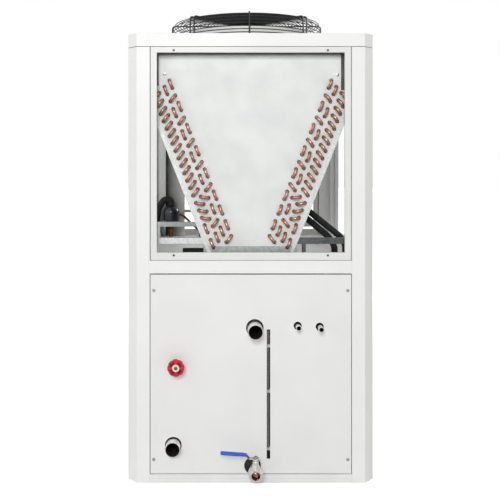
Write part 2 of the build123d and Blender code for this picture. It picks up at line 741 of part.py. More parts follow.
# Impeller: a closed hub with flat sickle blades, trimmed to the fan's circle
root_mid = -BLADE_SWEEP / 2
tip_mid = BLADE_SWEEP / 2
root_x = HUB_RADIUS - BLADE_ROOT_DEPTH
tip_x = FAN_RADIUS + BLADE_ROOT_DEPTH
middle_x = (root_x + tip_x) / 2
with BuildPart() as blade:
    with BuildSketch(Plane.XY):
        with BuildLine():
            ThreePointArc(
                (root_x, root_mid + BLADE_ROOT_CHORD / 2),
                (middle_x, (BLADE_ROOT_CHORD + BLADE_TIP_CHORD) / 4 - BLADE_BOW),
                (tip_x, tip_mid + BLADE_TIP_CHORD / 2),
            )
            Line((tip_x, tip_mid + BLADE_TIP_CHORD / 2), (tip_x, tip_mid - BLADE_TIP_CHORD / 2))
            ThreePointArc(
                (tip_x, tip_mid - BLADE_TIP_CHORD / 2),
                (middle_x, -(BLADE_ROOT_CHORD + BLADE_TIP_CHORD) / 4 - BLADE_BOW),
                (root_x, root_mid - BLADE_ROOT_CHORD / 2),
            )
            Line((root_x, root_mid - BLADE_ROOT_CHORD / 2), (root_x, root_mid + BLADE_ROOT_CHORD / 2))
        make_face()
    extrude(amount=BLADE_THICKNESS / 2, both=True)
blade_turns = [turn * 360 / BLADE_COUNT for turn in range(BLADE_COUNT)]
with BuildPart() as fan_impeller:
    with Locations([Location((0, 0, fan_z), (0, 0, turn)) * Location((0, 0, 0), (BLADE_PITCH, 0, 0)) for turn in blade_turns]):
        add(blade.part)
    with BuildSketch(Plane.XY.offset(hub_low)):
        Circle(FAN_RADIUS)
    extrude(amount=HUB_HEIGHT, mode=Mode.INTERSECT)
    with BuildSketch(Plane.XY.offset(hub_low)):
        Circle(HUB_RADIUS)
    extrude(amount=HUB_HEIGHT)
    with BuildSketch(Plane.XY.offset(hub_low)):
        Circle(SHAFT_RADIUS + RUNNING_CLEARANCE)
    extrude(amount=HUB_HEIGHT, mode=Mode.SUBTRACT)
save(fan_impeller.part, "fan_impeller")


# Pipe stubs from the tank through the front panel
def stub(x, z, diameter, wall, reach):
    length = half_depth + reach + tank_front
    with BuildPart() as pipe:
        with BuildSketch(Plane.XZ.offset(-tank_front)):
            with Locations((x, z)):
                Circle(diameter / 2)
                Circle(diameter / 2 - wall, mode=Mode.SUBTRACT)
        extrude(amount=length)
    return pipe.part


save(stub(OUTLET_X, OUTLET_Z, MAIN_PIPE_DIAMETER, MAIN_PIPE_WALL, OUTLET_REACH), "outlet_pipe")
save(stub(inlet_x, INLET_Z, MAIN_PIPE_DIAMETER, MAIN_PIPE_WALL, INLET_REACH), "inlet_pipe")
save(stub(fill_x, FILL_Z, SMALL_PIPE_DIAMETER, SMALL_PIPE_WALL, FILL_REACH), "fill_pipe")
save(stub(overflow_x, OVERFLOW_Z, SMALL_PIPE_DIAMETER, SMALL_PIPE_WALL, OVERFLOW_REACH), "overflow_pipe")

# Level gauge: a clear tube behind the slot, held by clips on the tank
gauge_y = -half_depth + PANEL_FOLD + PANEL_RECESS + GAUGE_DIAMETER
with BuildPart() as level_gauge:
    with BuildSketch(Plane.XY.offset(SLOT_LOW - GAUGE_OVERLAP)):
        with Locations((SLOT_X, gauge_y)):
            Circle(GAUGE_DIAMETER / 2)
    extrude(amount=SLOT_HIGH - SLOT_LOW + 2 * GAUGE_OVERLAP)
save(level_gauge.part, "level_gauge")
gauge_seat = GAUGE_DIAMETER + 2 * SEAT_GAP
with BuildPart() as gauge_clips:
    arm_length = tank_front - gauge_y
    for height in GAUGE_CLIPS:
        with BuildSketch(Plane.XY.offset(height - GAUGE_CLIP_HEIGHT / 2)):
            with Locations((SLOT_X, gauge_y + arm_length / 2)):
                Rectangle(SLOT_WIDTH, arm_length)
            with Locations((SLOT_X, gauge_y)):
                Rectangle(GAUGE_CLIP_WIDTH, GAUGE_CLIP_DEPTH)
                Rectangle(gauge_seat, gauge_seat, mode=Mode.SUBTRACT)
        extrude(amount=GAUGE_CLIP_HEIGHT)
save(gauge_clips.part, "gauge_clips")

# Bypass valve: bonnet and stem through the panel
wheel_back = -half_depth - BONNET_REACH - SEAT_GAP
wheel_front = wheel_back - WHEEL_THICKNESS
with BuildPart() as bypass_valve:
    with BuildSketch(Plane.XZ.offset(-tank_front)):
        with Locations((bypass_x, BYPASS_Z)):
            RegularPolygon(BONNET_RADIUS, BONNET_SIDES)
    extrude(amount=half_depth + tank_front + BONNET_REACH)
    with BuildSketch(Plane.XZ.offset(half_depth + BONNET_REACH)):
        with Locations((bypass_x, BYPASS_Z)):
            Circle(BYPASS_STEM_RADIUS)
    extrude(amount=WHEEL_THICKNESS + 2 * SEAT_GAP)
    with BuildSketch(Plane.XZ.offset(-wheel_front + SEAT_GAP)):
        with Locations((bypass_x, BYPASS_Z)):
            RegularPolygon(WHEEL_NUT_RADIUS, 6)
    extrude(amount=BYPASS_STEM_RADIUS)
save(bypass_valve.part, "bypass_valve")

rim_points = []
for point in range(4 * WHEEL_LOBES):
    lobe_radius = WHEEL_RADIUS - (WHEEL_LOBE_DEPTH if point % 4 == 2 else 0)
    lobe_turn = radians(360 * (point + 0.5) / (4 * WHEEL_LOBES))
    rim_points.append((lobe_radius * cos(lobe_turn), lobe_radius * sin(lobe_turn)))


def wheel_opening(turn):
    """Corners of one opening between two spokes."""
    outer = WHEEL_RADIUS - WHEEL_RIM
    angles = [radians(turn + step * WHEEL_OPENING / 2) for step in (-1, 0, 1)]
    edge = [(outer * cos(angle), outer * sin(angle)) for angle in angles]
    hub = [(WHEEL_HUB_RADIUS * cos(angle), WHEEL_HUB_RADIUS * sin(angle)) for angle in reversed(angles)]
    return edge + hub


with BuildPart() as bypass_handwheel:
    with BuildSketch(Plane.XZ.offset(-wheel_back)):
        with Locations((bypass_x, BYPASS_Z)):
            Polygon(*rim_points, align=None)
            for spoke in range(WHEEL_SPOKES):
                Polygon(*wheel_opening(45 + spoke * 360 / WHEEL_SPOKES), align=None, mode=Mode.SUBTRACT)
            Circle(BYPASS_STEM_RADIUS + RUNNING_CLEARANCE, mode=Mode.SUBTRACT)
    extrude(amount=WHEEL_THICKNESS)
save(bypass_handwheel.part, "bypass_handwheel")

# Drain valve: pipe, six-sided end, round body with its outlet socket, neck and gland
drain_face = -half_depth - DRAIN_REACH
drain_back = drain_face + DRAIN_BODY_LENGTH
stem_y = drain_face + DRAIN_BODY_LENGTH / 2
neck_top = DRAIN_Z + DRAIN_BODY_RADIUS + DRAIN_NECK_HEIGHT
gland_top = neck_top + DRAIN_GLAND_HEIGHT
hex_length = (DRAIN_BODY_LENGTH - 2 * DRAIN_BALL_RADIUS) / 2


def drain_disc(front, length, radius, sides=0):
    """A disc, or a prism of that many sides, on the valve's axis from its front face backwards."""
    with BuildPart() as disc:
        with BuildSketch(Plane.XZ.offset(-front)):
            with Locations((DRAIN_X, DRAIN_Z)):
                if sides:
                    RegularPolygon(radius, sides)
                else:
                    Circle(radius)
        extrude(amount=-length)
    return disc.part


body_front = drain_face + DRAIN_END_LENGTH
body_back = drain_back - hex_length
with BuildPart() as drain_valve:
    add(drain_disc(drain_back, tank_front - drain_back, DRAIN_PIPE_DIAMETER / 2))
    add(drain_disc(body_back, hex_length, DRAIN_HEX_RADIUS, 6))
    add(drain_disc(body_front, body_back - body_front, DRAIN_BODY_RADIUS, BALL_SIDES))
    add(drain_disc(drain_face, DRAIN_END_LENGTH, DRAIN_END_RADIUS, BALL_SIDES))
    with BuildSketch(Plane.XY.offset(DRAIN_Z)):
        with Locations((DRAIN_X, stem_y)):
            RegularPolygon(DRAIN_NECK_RADIUS, BALL_BORE_SIDES)
    extrude(amount=neck_top - DRAIN_Z)
    with BuildSketch(Plane.XY.offset(neck_top)):
        with Locations((DRAIN_X, stem_y)):
            RegularPolygon(DRAIN_GLAND_RADIUS, 6)
    extrude(amount=DRAIN_GLAND_HEIGHT)
    add(drain_disc(drain_face, DRAIN_SOCKET_DEPTH, DRAIN_SOCKET_RADIUS), mode=Mode.SUBTRACT)
    add(drain_disc(drain_face, tank_front - drain_face, DRAIN_BORE_RADIUS, BALL_BORE_SIDES), mode=Mode.SUBTRACT)
    with Locations((DRAIN_X, stem_y, DRAIN_Z)):
        Cylinder(DRAIN_BALL_RADIUS + RUNNING_CLEARANCE, 2 * DRAIN_BALL_RADIUS, mode=Mode.SUBTRACT)
    with BuildSketch(Plane.XY.offset(DRAIN_Z)):
        with Locations((DRAIN_X, stem_y)):
            Circle(DRAIN_STEM_RADIUS + RUNNING_CLEARANCE)
    extrude(amount=gland_top - DRAIN_Z, mode=Mode.SUBTRACT)
save(drain_valve.part, "drain_valve")

# Its ball, bored across while closed, with the stem and the nut over the lever
lever_low = gland_top + SEAT_GAP
nut_low = lever_low + LEVER_THICKNESS + SEAT_GAP
with BuildPart() as drain_stem:
    add(banded_ball((DRAIN_X, stem_y, DRAIN_Z), DRAIN_BALL_RADIUS, BALL_BANDS, BALL_SIDES))
    with BuildSketch(Plane.YZ.offset(DRAIN_X)):
        with Locations((stem_y, DRAIN_Z)):
            RegularPolygon(DRAIN_BORE_RADIUS, BALL_BORE_SIDES)
    extrude(amount=DRAIN_BALL_RADIUS, both=True, mode=Mode.SUBTRACT)
    with BuildSketch(Plane.XY.offset(DRAIN_Z + DRAIN_BORE_RADIUS + SHEET)):
        with Locations((DRAIN_X, stem_y)):
            Circle(DRAIN_STEM_RADIUS)
    extrude(amount=nut_low - DRAIN_Z - DRAIN_BORE_RADIUS - SHEET)
    with BuildSketch(Plane.XY.offset(nut_low)):
        with Locations((DRAIN_X, stem_y)):
            RegularPolygon(DRAIN_NUT_RADIUS, 6)
    extrude(amount=DRAIN_NUT_HEIGHT)
save(drain_stem.part, "drain_stem")

# Lever: a plate under the nut, a narrow kink and a thick rising grip
kink_x = DRAIN_X - LEVER_PLATE_REACH
grip_x = kink_x - LEVER_KINK
tip_end = DRAIN_X - LEVER_LENGTH
plate_top = lever_low + LEVER_THICKNESS
grip_low = plate_top + LEVER_KINK_RISE - LEVER_GRIP_HEIGHT / 2
grip_high = grip_low + LEVER_GRIP_HEIGHT
with BuildPart() as drain_lever:
    with BuildSketch(Plane.XZ.offset(-stem_y - LEVER_WIDTH / 2)):
        with BuildLine():
            Polyline(
                (DRAIN_X + LEVER_BACK_REACH, lever_low),
                (DRAIN_X + LEVER_BACK_REACH, plate_top),
                (kink_x + LEVER_THICKNESS, plate_top),
                (grip_x + LEVER_THICKNESS, grip_high),
                (tip_end, grip_high + LEVER_GRIP_RISE),
                (tip_end, grip_low + LEVER_GRIP_RISE),
                (grip_x - LEVER_THICKNESS, grip_low),
                (kink_x, lever_low),
                close=True,
            )
        make_face()
    extrude(amount=LEVER_WIDTH)
    with BuildSketch(Plane.XY.offset(lever_low)):
        with Locations((DRAIN_X, stem_y)):
            Circle(DRAIN_STEM_RADIUS + RUNNING_CLEARANCE)
    extrude(amount=LEVER_THICKNESS, mode=Mode.SUBTRACT)
save(drain_lever.part, "drain_lever")


# Refrigerant pipes: straight runs with mitred corners
def pipe_run(points, radius):
    """A many-sided pipe along the points."""
    with BuildLine() as path:
        Polyline(*points)
    with BuildPart() as run:
        with BuildSketch(Plane(origin=points[0], z_dir=path.line % 0)):
            RegularPolygon(radius, PIPE_SIDES)
        sweep(path=path.line, transition=Transition.RIGHT)
    return run.part


def twin_pipe(start_z, path):
    """One insulated pipe from the face of the right coil down to the deck."""
    outer_x, outer_z = tube_centre(fin_outer, 0)
    start_x = outer_x - (outer_z - start_z) * tan(tilt) + COIL_RAIL_GAP / cos(tilt)
    lead_x = start_x + FOAM_LEAD * cos(tilt)
    lead_z = start_z - FOAM_LEAD * sin(tilt)
    corners = ((start_x, start_z), (lead_x, lead_z)) + path + ((path[-1][0], pan_floor),)
    return pipe_run([(x, TWIN_PIPE_Y, z) for x, z in corners], FOAM_RADIUS)


receiver_y = rear_plate_y + RECEIVER_SETBACK
arc_points = [(x, receiver_y, z) for x, z in ARC_PATH]
dome_top = RECEIVER_Z - RECEIVER_RADIUS * cos(radians(RECEIVER_BANDS[-1]))
arc_start = (RECEIVER_X, receiver_y, dome_top + SEAT_GAP)
arc_end = (ARC_PATH[-1][0], receiver_y, pan_floor)
deck_pipe_z = pan_floor + FOAM_RADIUS
with BuildPart() as suction_line:
    add(twin_pipe(TWIN_UPPER_START, TWIN_UPPER_PATH))
    add(twin_pipe(TWIN_LOWER_START, TWIN_LOWER_PATH))
    add(pipe_run([arc_start] + arc_points + [arc_end], ARC_RADIUS))
    add(
        pipe_run(
            [
                (-PAN_HALF_WIDTH - COIL_RAIL_GAP, DECK_PIPE_Y, deck_pipe_z),
                (-PAN_HALF_WIDTH - DECK_PIPE_LENGTH, DECK_PIPE_Y, deck_pipe_z),
            ],
            FOAM_RADIUS,
        )
    )
save(suction_line.part, "suction_line")

# Receiver: a domed vessel on its leg, held to the rear end plate by a bracket
receiver_low = RECEIVER_Z - RECEIVER_SKIRT
with BuildPart() as receiver:
    with BuildSketch(Plane.XY.offset(receiver_low)):
        with Locations((RECEIVER_X, receiver_y)):
            RegularPolygon(RECEIVER_RADIUS, RECEIVER_SIDES)
    extrude(amount=RECEIVER_SKIRT)
    add(banded_ball((RECEIVER_X, receiver_y, RECEIVER_Z), RECEIVER_RADIUS, RECEIVER_BANDS, RECEIVER_SIDES))
save(receiver.part, "refrigerant_receiver")

liquid_start = (RECEIVER_X + RECEIVER_RADIUS + SEAT_GAP, receiver_y, LIQUID_START_Z)
liquid_points = [(x, receiver_y, z) for x, z in LIQUID_PATH]
with BuildPart() as liquid_line:
    add(pipe_run([liquid_start] + liquid_points + [(LIQUID_PATH[-1][0], receiver_y, pan_floor)], LIQUID_RADIUS))
    add(pipe_run([(RECEIVER_X, receiver_y, receiver_low), (RECEIVER_X, receiver_y, pan_floor)], RECEIVER_LEG_RADIUS))
save(liquid_line.part, "liquid_line")

# Cable duct up the rear, its two clips to the window frame, and the receiver's bracket
duct_back = half_depth - PANEL_RECESS - WINDOW_FOLD - DUCT_BACK_GAP
with BuildPart() as cable_duct:
    with BuildSketch(Plane.XY.offset(pan_floor)):
        with Locations((DUCT_LEFT + DUCT_WIDTH / 2, duct_back - DUCT_DEPTH / 2)):
            Rectangle(DUCT_WIDTH, DUCT_DEPTH)
    extrude(amount=cap_bottom - pan_floor)
save(cable_duct.part, "cable_duct")
side_bar_x = bay_half - WINDOW_GAP - WINDOW_SIDE_BAR / 2
bracket_start = RECEIVER_X + RECEIVER_RADIUS + SEAT_GAP
with BuildPart() as duct_brackets:
    for height in DUCT_CLIP_HEIGHTS:
        with BuildSketch(Plane.XY.offset(height)):
            with Locations((-side_bar_x, duct_back + DUCT_BACK_GAP / 2)):
                Rectangle(DUCT_CLIP_WIDTH, DUCT_BACK_GAP)
        extrude(amount=DUCT_CLIP_HEIGHT)
    with BuildSketch(Plane.XY.offset(BRACKET_Z + LIQUID_RADIUS + LIQUID_RADIUS)):
        with Locations(((bracket_start + BRACKET_FOOT_X) / 2, receiver_y)):
            Rectangle(BRACKET_FOOT_X - bracket_start, BRACKET_THICKNESS)
        with Locations((BRACKET_FOOT_X, (rear_plate_y + receiver_y) / 2)):
            Rectangle(BRACKET_THICKNESS, receiver_y - rear_plate_y)
    extrude(amount=BRACKET_HEIGHT - LIQUID_RADIUS)
save(duct_brackets.part, "duct_brackets")


# Headers behind the rear end plate, one along each coil
def coil_header(side):
    """A header pipe with its stubs to the plate."""
    header_y = rear_plate_y + HEADER_STAND_OFF
    ends = [tube_centre(HEADER_ROW, step) for step in HEADER_STEPS]
    with BuildPart() as header:
        add(pipe_run([(side * x, header_y, z) for x, z in ends], HEADER_RADIUS))
        for step in HEADER_STUBS:
            x, z = tube_centre(HEADER_ROW, step)
            add(pipe_run([(side * x, rear_plate_y, z), (side * x, header_y, z)], LIQUID_RADIUS))
    return header.part


save(coil_header(-1), "coil_headers_left")
save(coil_header(1), "coil_headers_right")
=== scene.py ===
"""Looks of an air-cooled chiller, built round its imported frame.

Lengths are millimetres, as in the part's own source, but the studio's places are in metres.
"""

import logging
import math
from collections.abc import Callable, Iterable, Iterator, Sequence
from contextlib import contextmanager
from dataclasses import dataclass
from enum import Enum
from typing import Any, Optional

import bpy
from mathutils import Matrix, Vector


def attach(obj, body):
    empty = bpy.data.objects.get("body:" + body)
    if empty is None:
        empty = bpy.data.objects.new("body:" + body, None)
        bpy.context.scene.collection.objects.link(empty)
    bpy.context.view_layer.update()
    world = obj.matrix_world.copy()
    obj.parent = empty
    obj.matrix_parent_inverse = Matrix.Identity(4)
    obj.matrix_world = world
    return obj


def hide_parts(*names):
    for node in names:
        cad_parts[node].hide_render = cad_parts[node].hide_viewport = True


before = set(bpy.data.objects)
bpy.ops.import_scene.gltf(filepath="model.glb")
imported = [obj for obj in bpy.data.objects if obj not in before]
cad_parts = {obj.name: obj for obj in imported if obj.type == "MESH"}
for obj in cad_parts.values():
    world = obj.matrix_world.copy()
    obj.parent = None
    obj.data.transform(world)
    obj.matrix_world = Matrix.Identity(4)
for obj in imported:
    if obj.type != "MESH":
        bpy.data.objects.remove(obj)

LOG = logging.getLogger("chiller")
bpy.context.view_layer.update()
MM = 0.001
# Points nearer than this, in metres, are one
MERGE = 0.00001
# The middle part of a noise's range, which is stretched to run from end to end
NOISE_RANGE = (0.35, 0.65)
COAT_ROUGHNESS = 0.12
# Where the handles of a quarter bend end, from its corner, as a share of the bend
ARC_HANDLE = 0.45
LINE_HANDLE = 1.01

Point = Sequence[float]
Pair = tuple[float, float]
Piece = bpy.types.Object
Tree = bpy.types.NodeTree
Node = bpy.types.Node
Socket = bpy.types.NodeSocket

ORIGIN = (0, 0, 0)
FORWARD = (0, -1, 0)
BACKWARD = (0, 1, 0)
UP = (0, 0, 1)


class Body(Enum):
    """The rigid bodies that pieces ride on."""

    CABINET = "cabinet"
    FAN = "fan_rotor"
    DRAIN = "drain_handle"
    WHEEL = "bypass_wheel"


def linear(code: str) -> tuple[float, float, float, float]:
    """Turns an sRGB hex colour to linear light.

    Args:
        code: Six hex digits, such as "C98868".

    Returns:
        Red, green, blue and an alpha of one.
    """
    values = [int(code[i : i + 2], 16) / 255 for i in (0, 2, 4)]
    light = [v / 12.92 if v <= 0.04045 else ((v + 0.055) / 1.055) ** 2.4 for v in values]
    return (light[0], light[1], light[2], 1.0)


def add_node(
    tree: Tree,
    kind: str,
    settings: Optional[dict[str, Any]] = None,
    inputs: Optional[dict[Any, Any]] = None,
) -> Node:
    """Adds one node to a tree, with its settings, values and links.

    Args:
        tree: The node tree that gets the node.
        kind: The node's type, such as "ShaderNodeBump".
        settings: Attributes of the node, by name.
        inputs: Values or output sockets, by the input's name or number.

    Returns:
        The new node.
    """
    made = tree.nodes.new(kind)
    for name, value in (settings or {}).items():
        setattr(made, name, value)
    for name, value in (inputs or {}).items():
        if isinstance(value, Socket):
            tree.links.new(value, made.inputs[name])
        else:
            made.inputs[name].default_value = value
    return made


def noise(tree: Tree, place: Socket, size: float, detail: float) -> Socket:
    """Returns noise whose features lie this many millimetres apart."""
    values = {"Vector": place, "Scale": 1 / (size * MM), "Detail": detail}
    return add_node(tree, "ShaderNodeTexNoise", None, values).outputs["Fac"]


def spread_noise(tree: Tree, value: Socket, low: float = 0.0, high: float = 1.0) -> Socket:
    """Returns a noise's value, stretched to run between two others."""
    start, end = NOISE_RANGE
    values = {"Value": value, "From Min": start, "From Max": end, "To Min": low, "To Max": high}
    return add_node(tree, "ShaderNodeMapRange", None, values).outputs[0]


def maths(tree: Tree, operation: str, *values: Any, clamp: bool = False) -> Socket:
    """Returns what a math node makes of values or sockets."""
    settings = {"operation": operation, "use_clamp": clamp}
    return add_node(tree, "ShaderNodeMath", settings, dict(enumerate(values))).outputs[0]


@dataclass(frozen=True)
class Finish:
    """A finish with a mottled colour and a fine bump, each at its real size.

    Attributes:
        name: The material's name, after the real one.
        colour: The main colour, as sRGB hex.
        second: The colour it drifts to, as sRGB hex.
        mottle_mm: How far apart the drifts of colour lie.
        grain_mm: How far apart the bumps lie.
        bump_mm: How high the bumps stand.
        roughness: The lower roughness.
        spread: How much rougher the dull places are.
        metallic: One for bare metal.
        coat: Weight of a clear gloss over the colour.
        stretch: Scale of the grain along X, Y and Z, which draws it out along one of them.
    """

    name: str
    colour: str
    second: str
    mottle_mm: float = 120.0
    grain_mm: float = 6.0
    bump_mm: float = 0.05
    roughness: float = 0.4
    spread: float = 0.1
    metallic: float = 0.0
    coat: float = 0.0
    stretch: tuple[float, float, float] = (1.0, 1.0, 1.0)

    def material(self) -> bpy.types.Material:
        """Returns the finish's material, which is made once."""
        found = bpy.data.materials.get(self.name)
        if found:
            return found
        made = bpy.data.materials.new(self.name)
        made.use_nodes = True
        tree = made.node_tree
        shader = tree.nodes["Principled BSDF"]
        shader.inputs["Metallic"].default_value = self.metallic
        shader.inputs["Coat Weight"].default_value = self.coat
        shader.inputs["Coat Roughness"].default_value = COAT_ROUGHNESS
        place = add_node(tree, "ShaderNodeTexCoord").outputs["Object"]
        self.pattern(tree, shader, place)
        return made

    def pattern(self, tree: Tree, shader: Node, place: Socket) -> None:
        """Mottles the colour and the roughness, and raises the grain.

        Args:
            tree: The material's node tree.
            shader: Its principled shader.
            place: Object coordinates, in metres.
        """
        mottle = noise(tree, place, self.mottle_mm, 3.0)
        tones = {"Factor": self.contrast(tree, mottle), 6: linear(self.colour), 7: linear(self.second)}
        colour = add_node(tree, "ShaderNodeMix", {"data_type": "RGBA"}, tones)
        tree.links.new(colour.outputs[2], shader.inputs["Base Color"])
        rough = spread_noise(tree, mottle, self.roughness, self.roughness + self.spread)
        tree.links.new(rough, shader.inputs["Roughness"])
        drawn = add_node(tree, "ShaderNodeMapping", None, {"Vector": place, "Scale": self.stretch})
        grain = noise(tree, drawn.outputs[0], self.grain_mm, 2.0)
        raised = {"Height": grain, "Distance": self.bump_mm * MM, "Strength": 1.0}
        bump = add_node(tree, "ShaderNodeBump", None, raised)
        tree.links.new(bump.outputs[0], shader.inputs["Normal"])

    def contrast(self, tree: Tree, value: Socket) -> Socket:
        """Returns how much of the second colour a place has, here by the noise alone."""
        return spread_noise(tree, value)


@dataclass(frozen=True)
class Spangle(Finish):
    """Hot-dip galvanising: flat crystals of zinc, each with its own tone."""

    def contrast(self, tree: Tree, value: Socket) -> Socket:
        """Returns one even value for each crystal."""
        cells = add_node(tree, "ShaderNodeTexVoronoi", None, {"Scale": 1 / (self.grain_mm * MM)})
        place = add_node(tree, "ShaderNodeTexCoord").outputs["Object"]
        tree.links.new(place, cells.inputs["Vector"])
        return add_node(tree, "ShaderNodeSeparateColor", None, {"Color": cells.outputs["Color"]}).outputs[0]


@dataclass(frozen=True)
class LeftShaded(Finish):
    """Sheet with painted shade: its own colour on its right side, darkened towards its left edge."""

    lit_x: float = -322.0
    dark_x: float = -408.0
    uneven: float = 0.12

    def contrast(self, tree: Tree, value: Socket) -> Socket:
        """Returns how much painted shade a place has, by how far left it lies, broken up a little by the
        noise.
        """
        place = add_node(tree, "ShaderNodeTexCoord").outputs["Object"]
        across = add_node(tree, "ShaderNodeSeparateXYZ", None, {0: place}).outputs["X"]
        span = {"Value": across, "From Min": self.lit_x * MM, "From Max": self.dark_x * MM}
        level = add_node(tree, "ShaderNodeMapRange", None, span).outputs[0]
        uneven = maths(tree, "MULTIPLY_ADD", value, self.uneven, -self.uneven / 2)
        return maths(tree, "ADD", level, uneven, clamp=True)


@dataclass(frozen=True)
class Clear(Finish):
    """Clear plastic tube: light passes, and the rim still catches a highlight."""

    def pattern(self, tree: Tree, shader: Node, place: Socket) -> None:
        """Adds the usual pattern and lets the light through."""
        super().pattern(tree, shader, place)
        shader.inputs["Transmission Weight"].default_value = 0.75
        shader.inputs["IOR"].default_value = 1.49


# Polyester powder coat: an even, slightly warm white with a satin sheen and a faint orange peel
COAT = Finish("powder_coat_white", "EDEDEB", "EAEAE8", 260, 9, 0.012, 0.36, 0.08)
# The same coat on the window frames, a shade greyer
FRAME = Finish("powder_coat_frame", "E2E3E0", "DEDFDC", 260, 9, 0.012, 0.36, 0.08)
# The base rails: the same coat, duller from handling
BASE_COAT = Finish("powder_coat_base", "E9E9E7", "E2E2E0", 120, 6, 0.03, 0.5, 0.12)
# Bright galvanised end plates: nearly white, with broad cloudy reflections and a cool tint
PLATE = Finish("bright_galvanised_sheet", "E0E2E0", "D8DBD9", 110, 7, 0.04, 0.52, 0.14, 0.06)
# The folded edge of that plate and the coil rails: paler than plain zinc, with smaller spangles
PLATE_EDGE = Spangle("galvanised_edge", "D3D6D4", "BFC4C2", 60, 7, 0.02, 0.45, 0.14, 0.5)
# The lower panels: the same coat, a shade less bright
PANEL = Finish("powder_coat_panel", "E9E9E7", "E5E5E3", 260, 9, 0.012, 0.38, 0.08)
# Galvanised sheet: grey with spangles about 9 mm across, dull sheen
ZINC = Spangle("galvanised_steel", "A4AAA8", "8E9593", 60, 9, 0.02, 0.42, 0.14, 1.0)
# The right front rail: the same sheet, darker, which is painted shade
SHADED_ZINC = Spangle("zinc_painted_shade", "5E6463", "4C5251", 60, 9, 0.02, 0.5, 0.15, 0.8)
# Duct sheet: grey zinc, with painted shade that darkens it to black towards its left side
DUCT = LeftShaded("galvanised_duct", "DEDEDA", "131414", 60, 9, 0.02, 0.5, 0.15, 0.2)
# Aluminium fin stock: bright thin strips, a little clouded
FINS = Finish("aluminium_fin_stock", "CDD1D2", "BFC4C6", 30, 3, 0.04, 0.4, 0.12, 0.5)
# Painted shade between the fins: a dull mid grey block behind them
FIN_SHADE = Finish("fin_gap_shade", "50565A", "3E4347", 20, 3, 0.1, 0.7, 0.1)
# Drawn copper tube: salmon pink, with darker heat tint towards its joints
COPPER = Finish("drawn_copper", "CA9782", "9E6D5A", 9, 5, 0.03, 0.3, 0.2, 1.0)
# Brazed joints: flux and scale left dull brown
BRAZED = Finish("brazed_joint", "54483A", "3A3128", 5, 3, 0.1, 0.5, 0.25, 0.3)
# Steel wire under black coating: soft highlights, slightly lumpy
WIRE = Finish("black_coated_wire", "1B1C1E", "141517", 30, 4, 0.06, 0.38, 0.12)
# Glass-filled nylon blades: black, with a faint moulded speckle
MOULDED = Finish("moulded_fan_nylon", "202224", "191B1D", 25, 2.5, 0.05, 0.42, 0.12)
# Painted casting of the fan motor: dark grey with a sandy skin
CASTING = Finish("painted_casting", "3C4044", "33373A", 30, 2.5, 0.12, 0.5, 0.15)
# Closed-cell nitrile foam: matt black with fine pores
FOAM = Finish("nitrile_foam", "1B1B1C", "121213", 18, 3, 0.15, 0.78, 0.12)
# Satin stainless pipe: fine lines round the pipe from polishing
STEEL = Finish("stainless_pipe", "ECEAE6", "CFCCC7", 18, 2.5, 0.03, 0.15, 0.14, 1.0, stretch=(0.25, 1, 0.25))
# Investment-cast valve body: brighter, with a faintly pitted skin
CAST_STEEL = Finish("cast_stainless", "ECE9E4", "C6C2BC", 12, 2.0, 0.08, 0.2, 0.18, 1.0)
# Turned and plated small parts: screws, nuts and catches
PLATED = Finish("zinc_plated_fastener", "B9B9B4", "9C9A93", 6, 2, 0.02, 0.3, 0.2, 1.0)
# Screws of the window frames: black zinc, dull
SCREW = Finish("black_zinc_screw", "4C4A46", "3A3835", 6, 2, 0.02, 0.4, 0.2, 0.6)
# The valve's chromed ball, seen deep in the socket: its warm dark tint is a painted reflection of the seat
# round it, and the lamps give it a bright streak
BALL = Finish("valve_ball", "B08A84", "8A5E58", 10, 3, 0.02, 0.16, 0.08, 1.0)
# Handwheel enamel: deep red with a wet gloss
RED = Finish("red_enamel", "D00D28", "AE081C", 12, 2.5, 0.06, 0.45, 0.1, coat=0.1)
# The same enamel in the shade between the spokes
RED_SHADE = Finish("red_enamel_shade", "A00A1C", "7A0714", 12, 2.5, 0.06, 0.6, 0.1)
# Cream plate of the handwheel's hub
CREAM = Finish("hub_plate", "E9E4D6", "DDD6C6", 8, 2, 0.02, 0.4, 0.1)
# Dipped vinyl sleeve: strong blue, soft gloss, slightly uneven skin
VINYL = Finish("vinyl_sleeve", "1054D6", "0C46BC", 14, 4, 0.08, 0.34, 0.12, coat=0.15)
# Clear acrylic tube of the gauge
ACRYLIC = Clear("gauge_acrylic", "E8E4E0", "DEDAD6", 30, 4, 0.01, 0.08, 0.05)
# The empty part of the gauge: a dull brown-grey
COLUMN = Finish("gauge_column", "5A504A", "463E39", 30, 3, 0.02, 0.5, 0.1)
# The liquid at its foot: a pale mauve
MARKER = Finish("gauge_liquid", "A99EAE", "958A9C", 20, 3, 0.02, 0.35, 0.1)
# Moulded clips: glossy off-white nylon
CLIP = Finish("clip_nylon", "E2E2DD", "D6D6D0", 12, 3, 0.04, 0.3, 0.1)
# Dark enamel of the receiver, nearly black with a blue cast
NAVY = Finish("receiver_enamel", "141A2A", "0E121E", 20, 3, 0.05, 0.28, 0.12, coat=0.3)
# Painted shade inside the pipes: a dark brown lining in their bores, glossy where light gets in
PIPE_SHADE = Finish("pipe_bore_shade", "3A322D", "241F1C", 20, 3, 0.05, 0.36, 0.1)
# Sealing strip: grey, between the sheets
# Painted shade: a grey strip in the joints between the sheets, standing for the shade in them
SHADE_LINE = Finish("painted_shade_line", "A3A19B", "94928C", 40, 4, 0.05, 0.6, 0.1)
# Painted shadow along the end plate's top and sides, under the window frame: dark olive grey
SHADOW_STRIP = Finish("painted_shadow_strip", "5C5C54", "4A4A43", 30, 4, 0.1, 0.75, 0.1)
# Black rubber and the shade in deep gaps: dull and nearly black
RUBBER = Finish("gasket_rubber", "161616", "0F0F0F", 20, 3, 0.05, 0.7, 0.1)
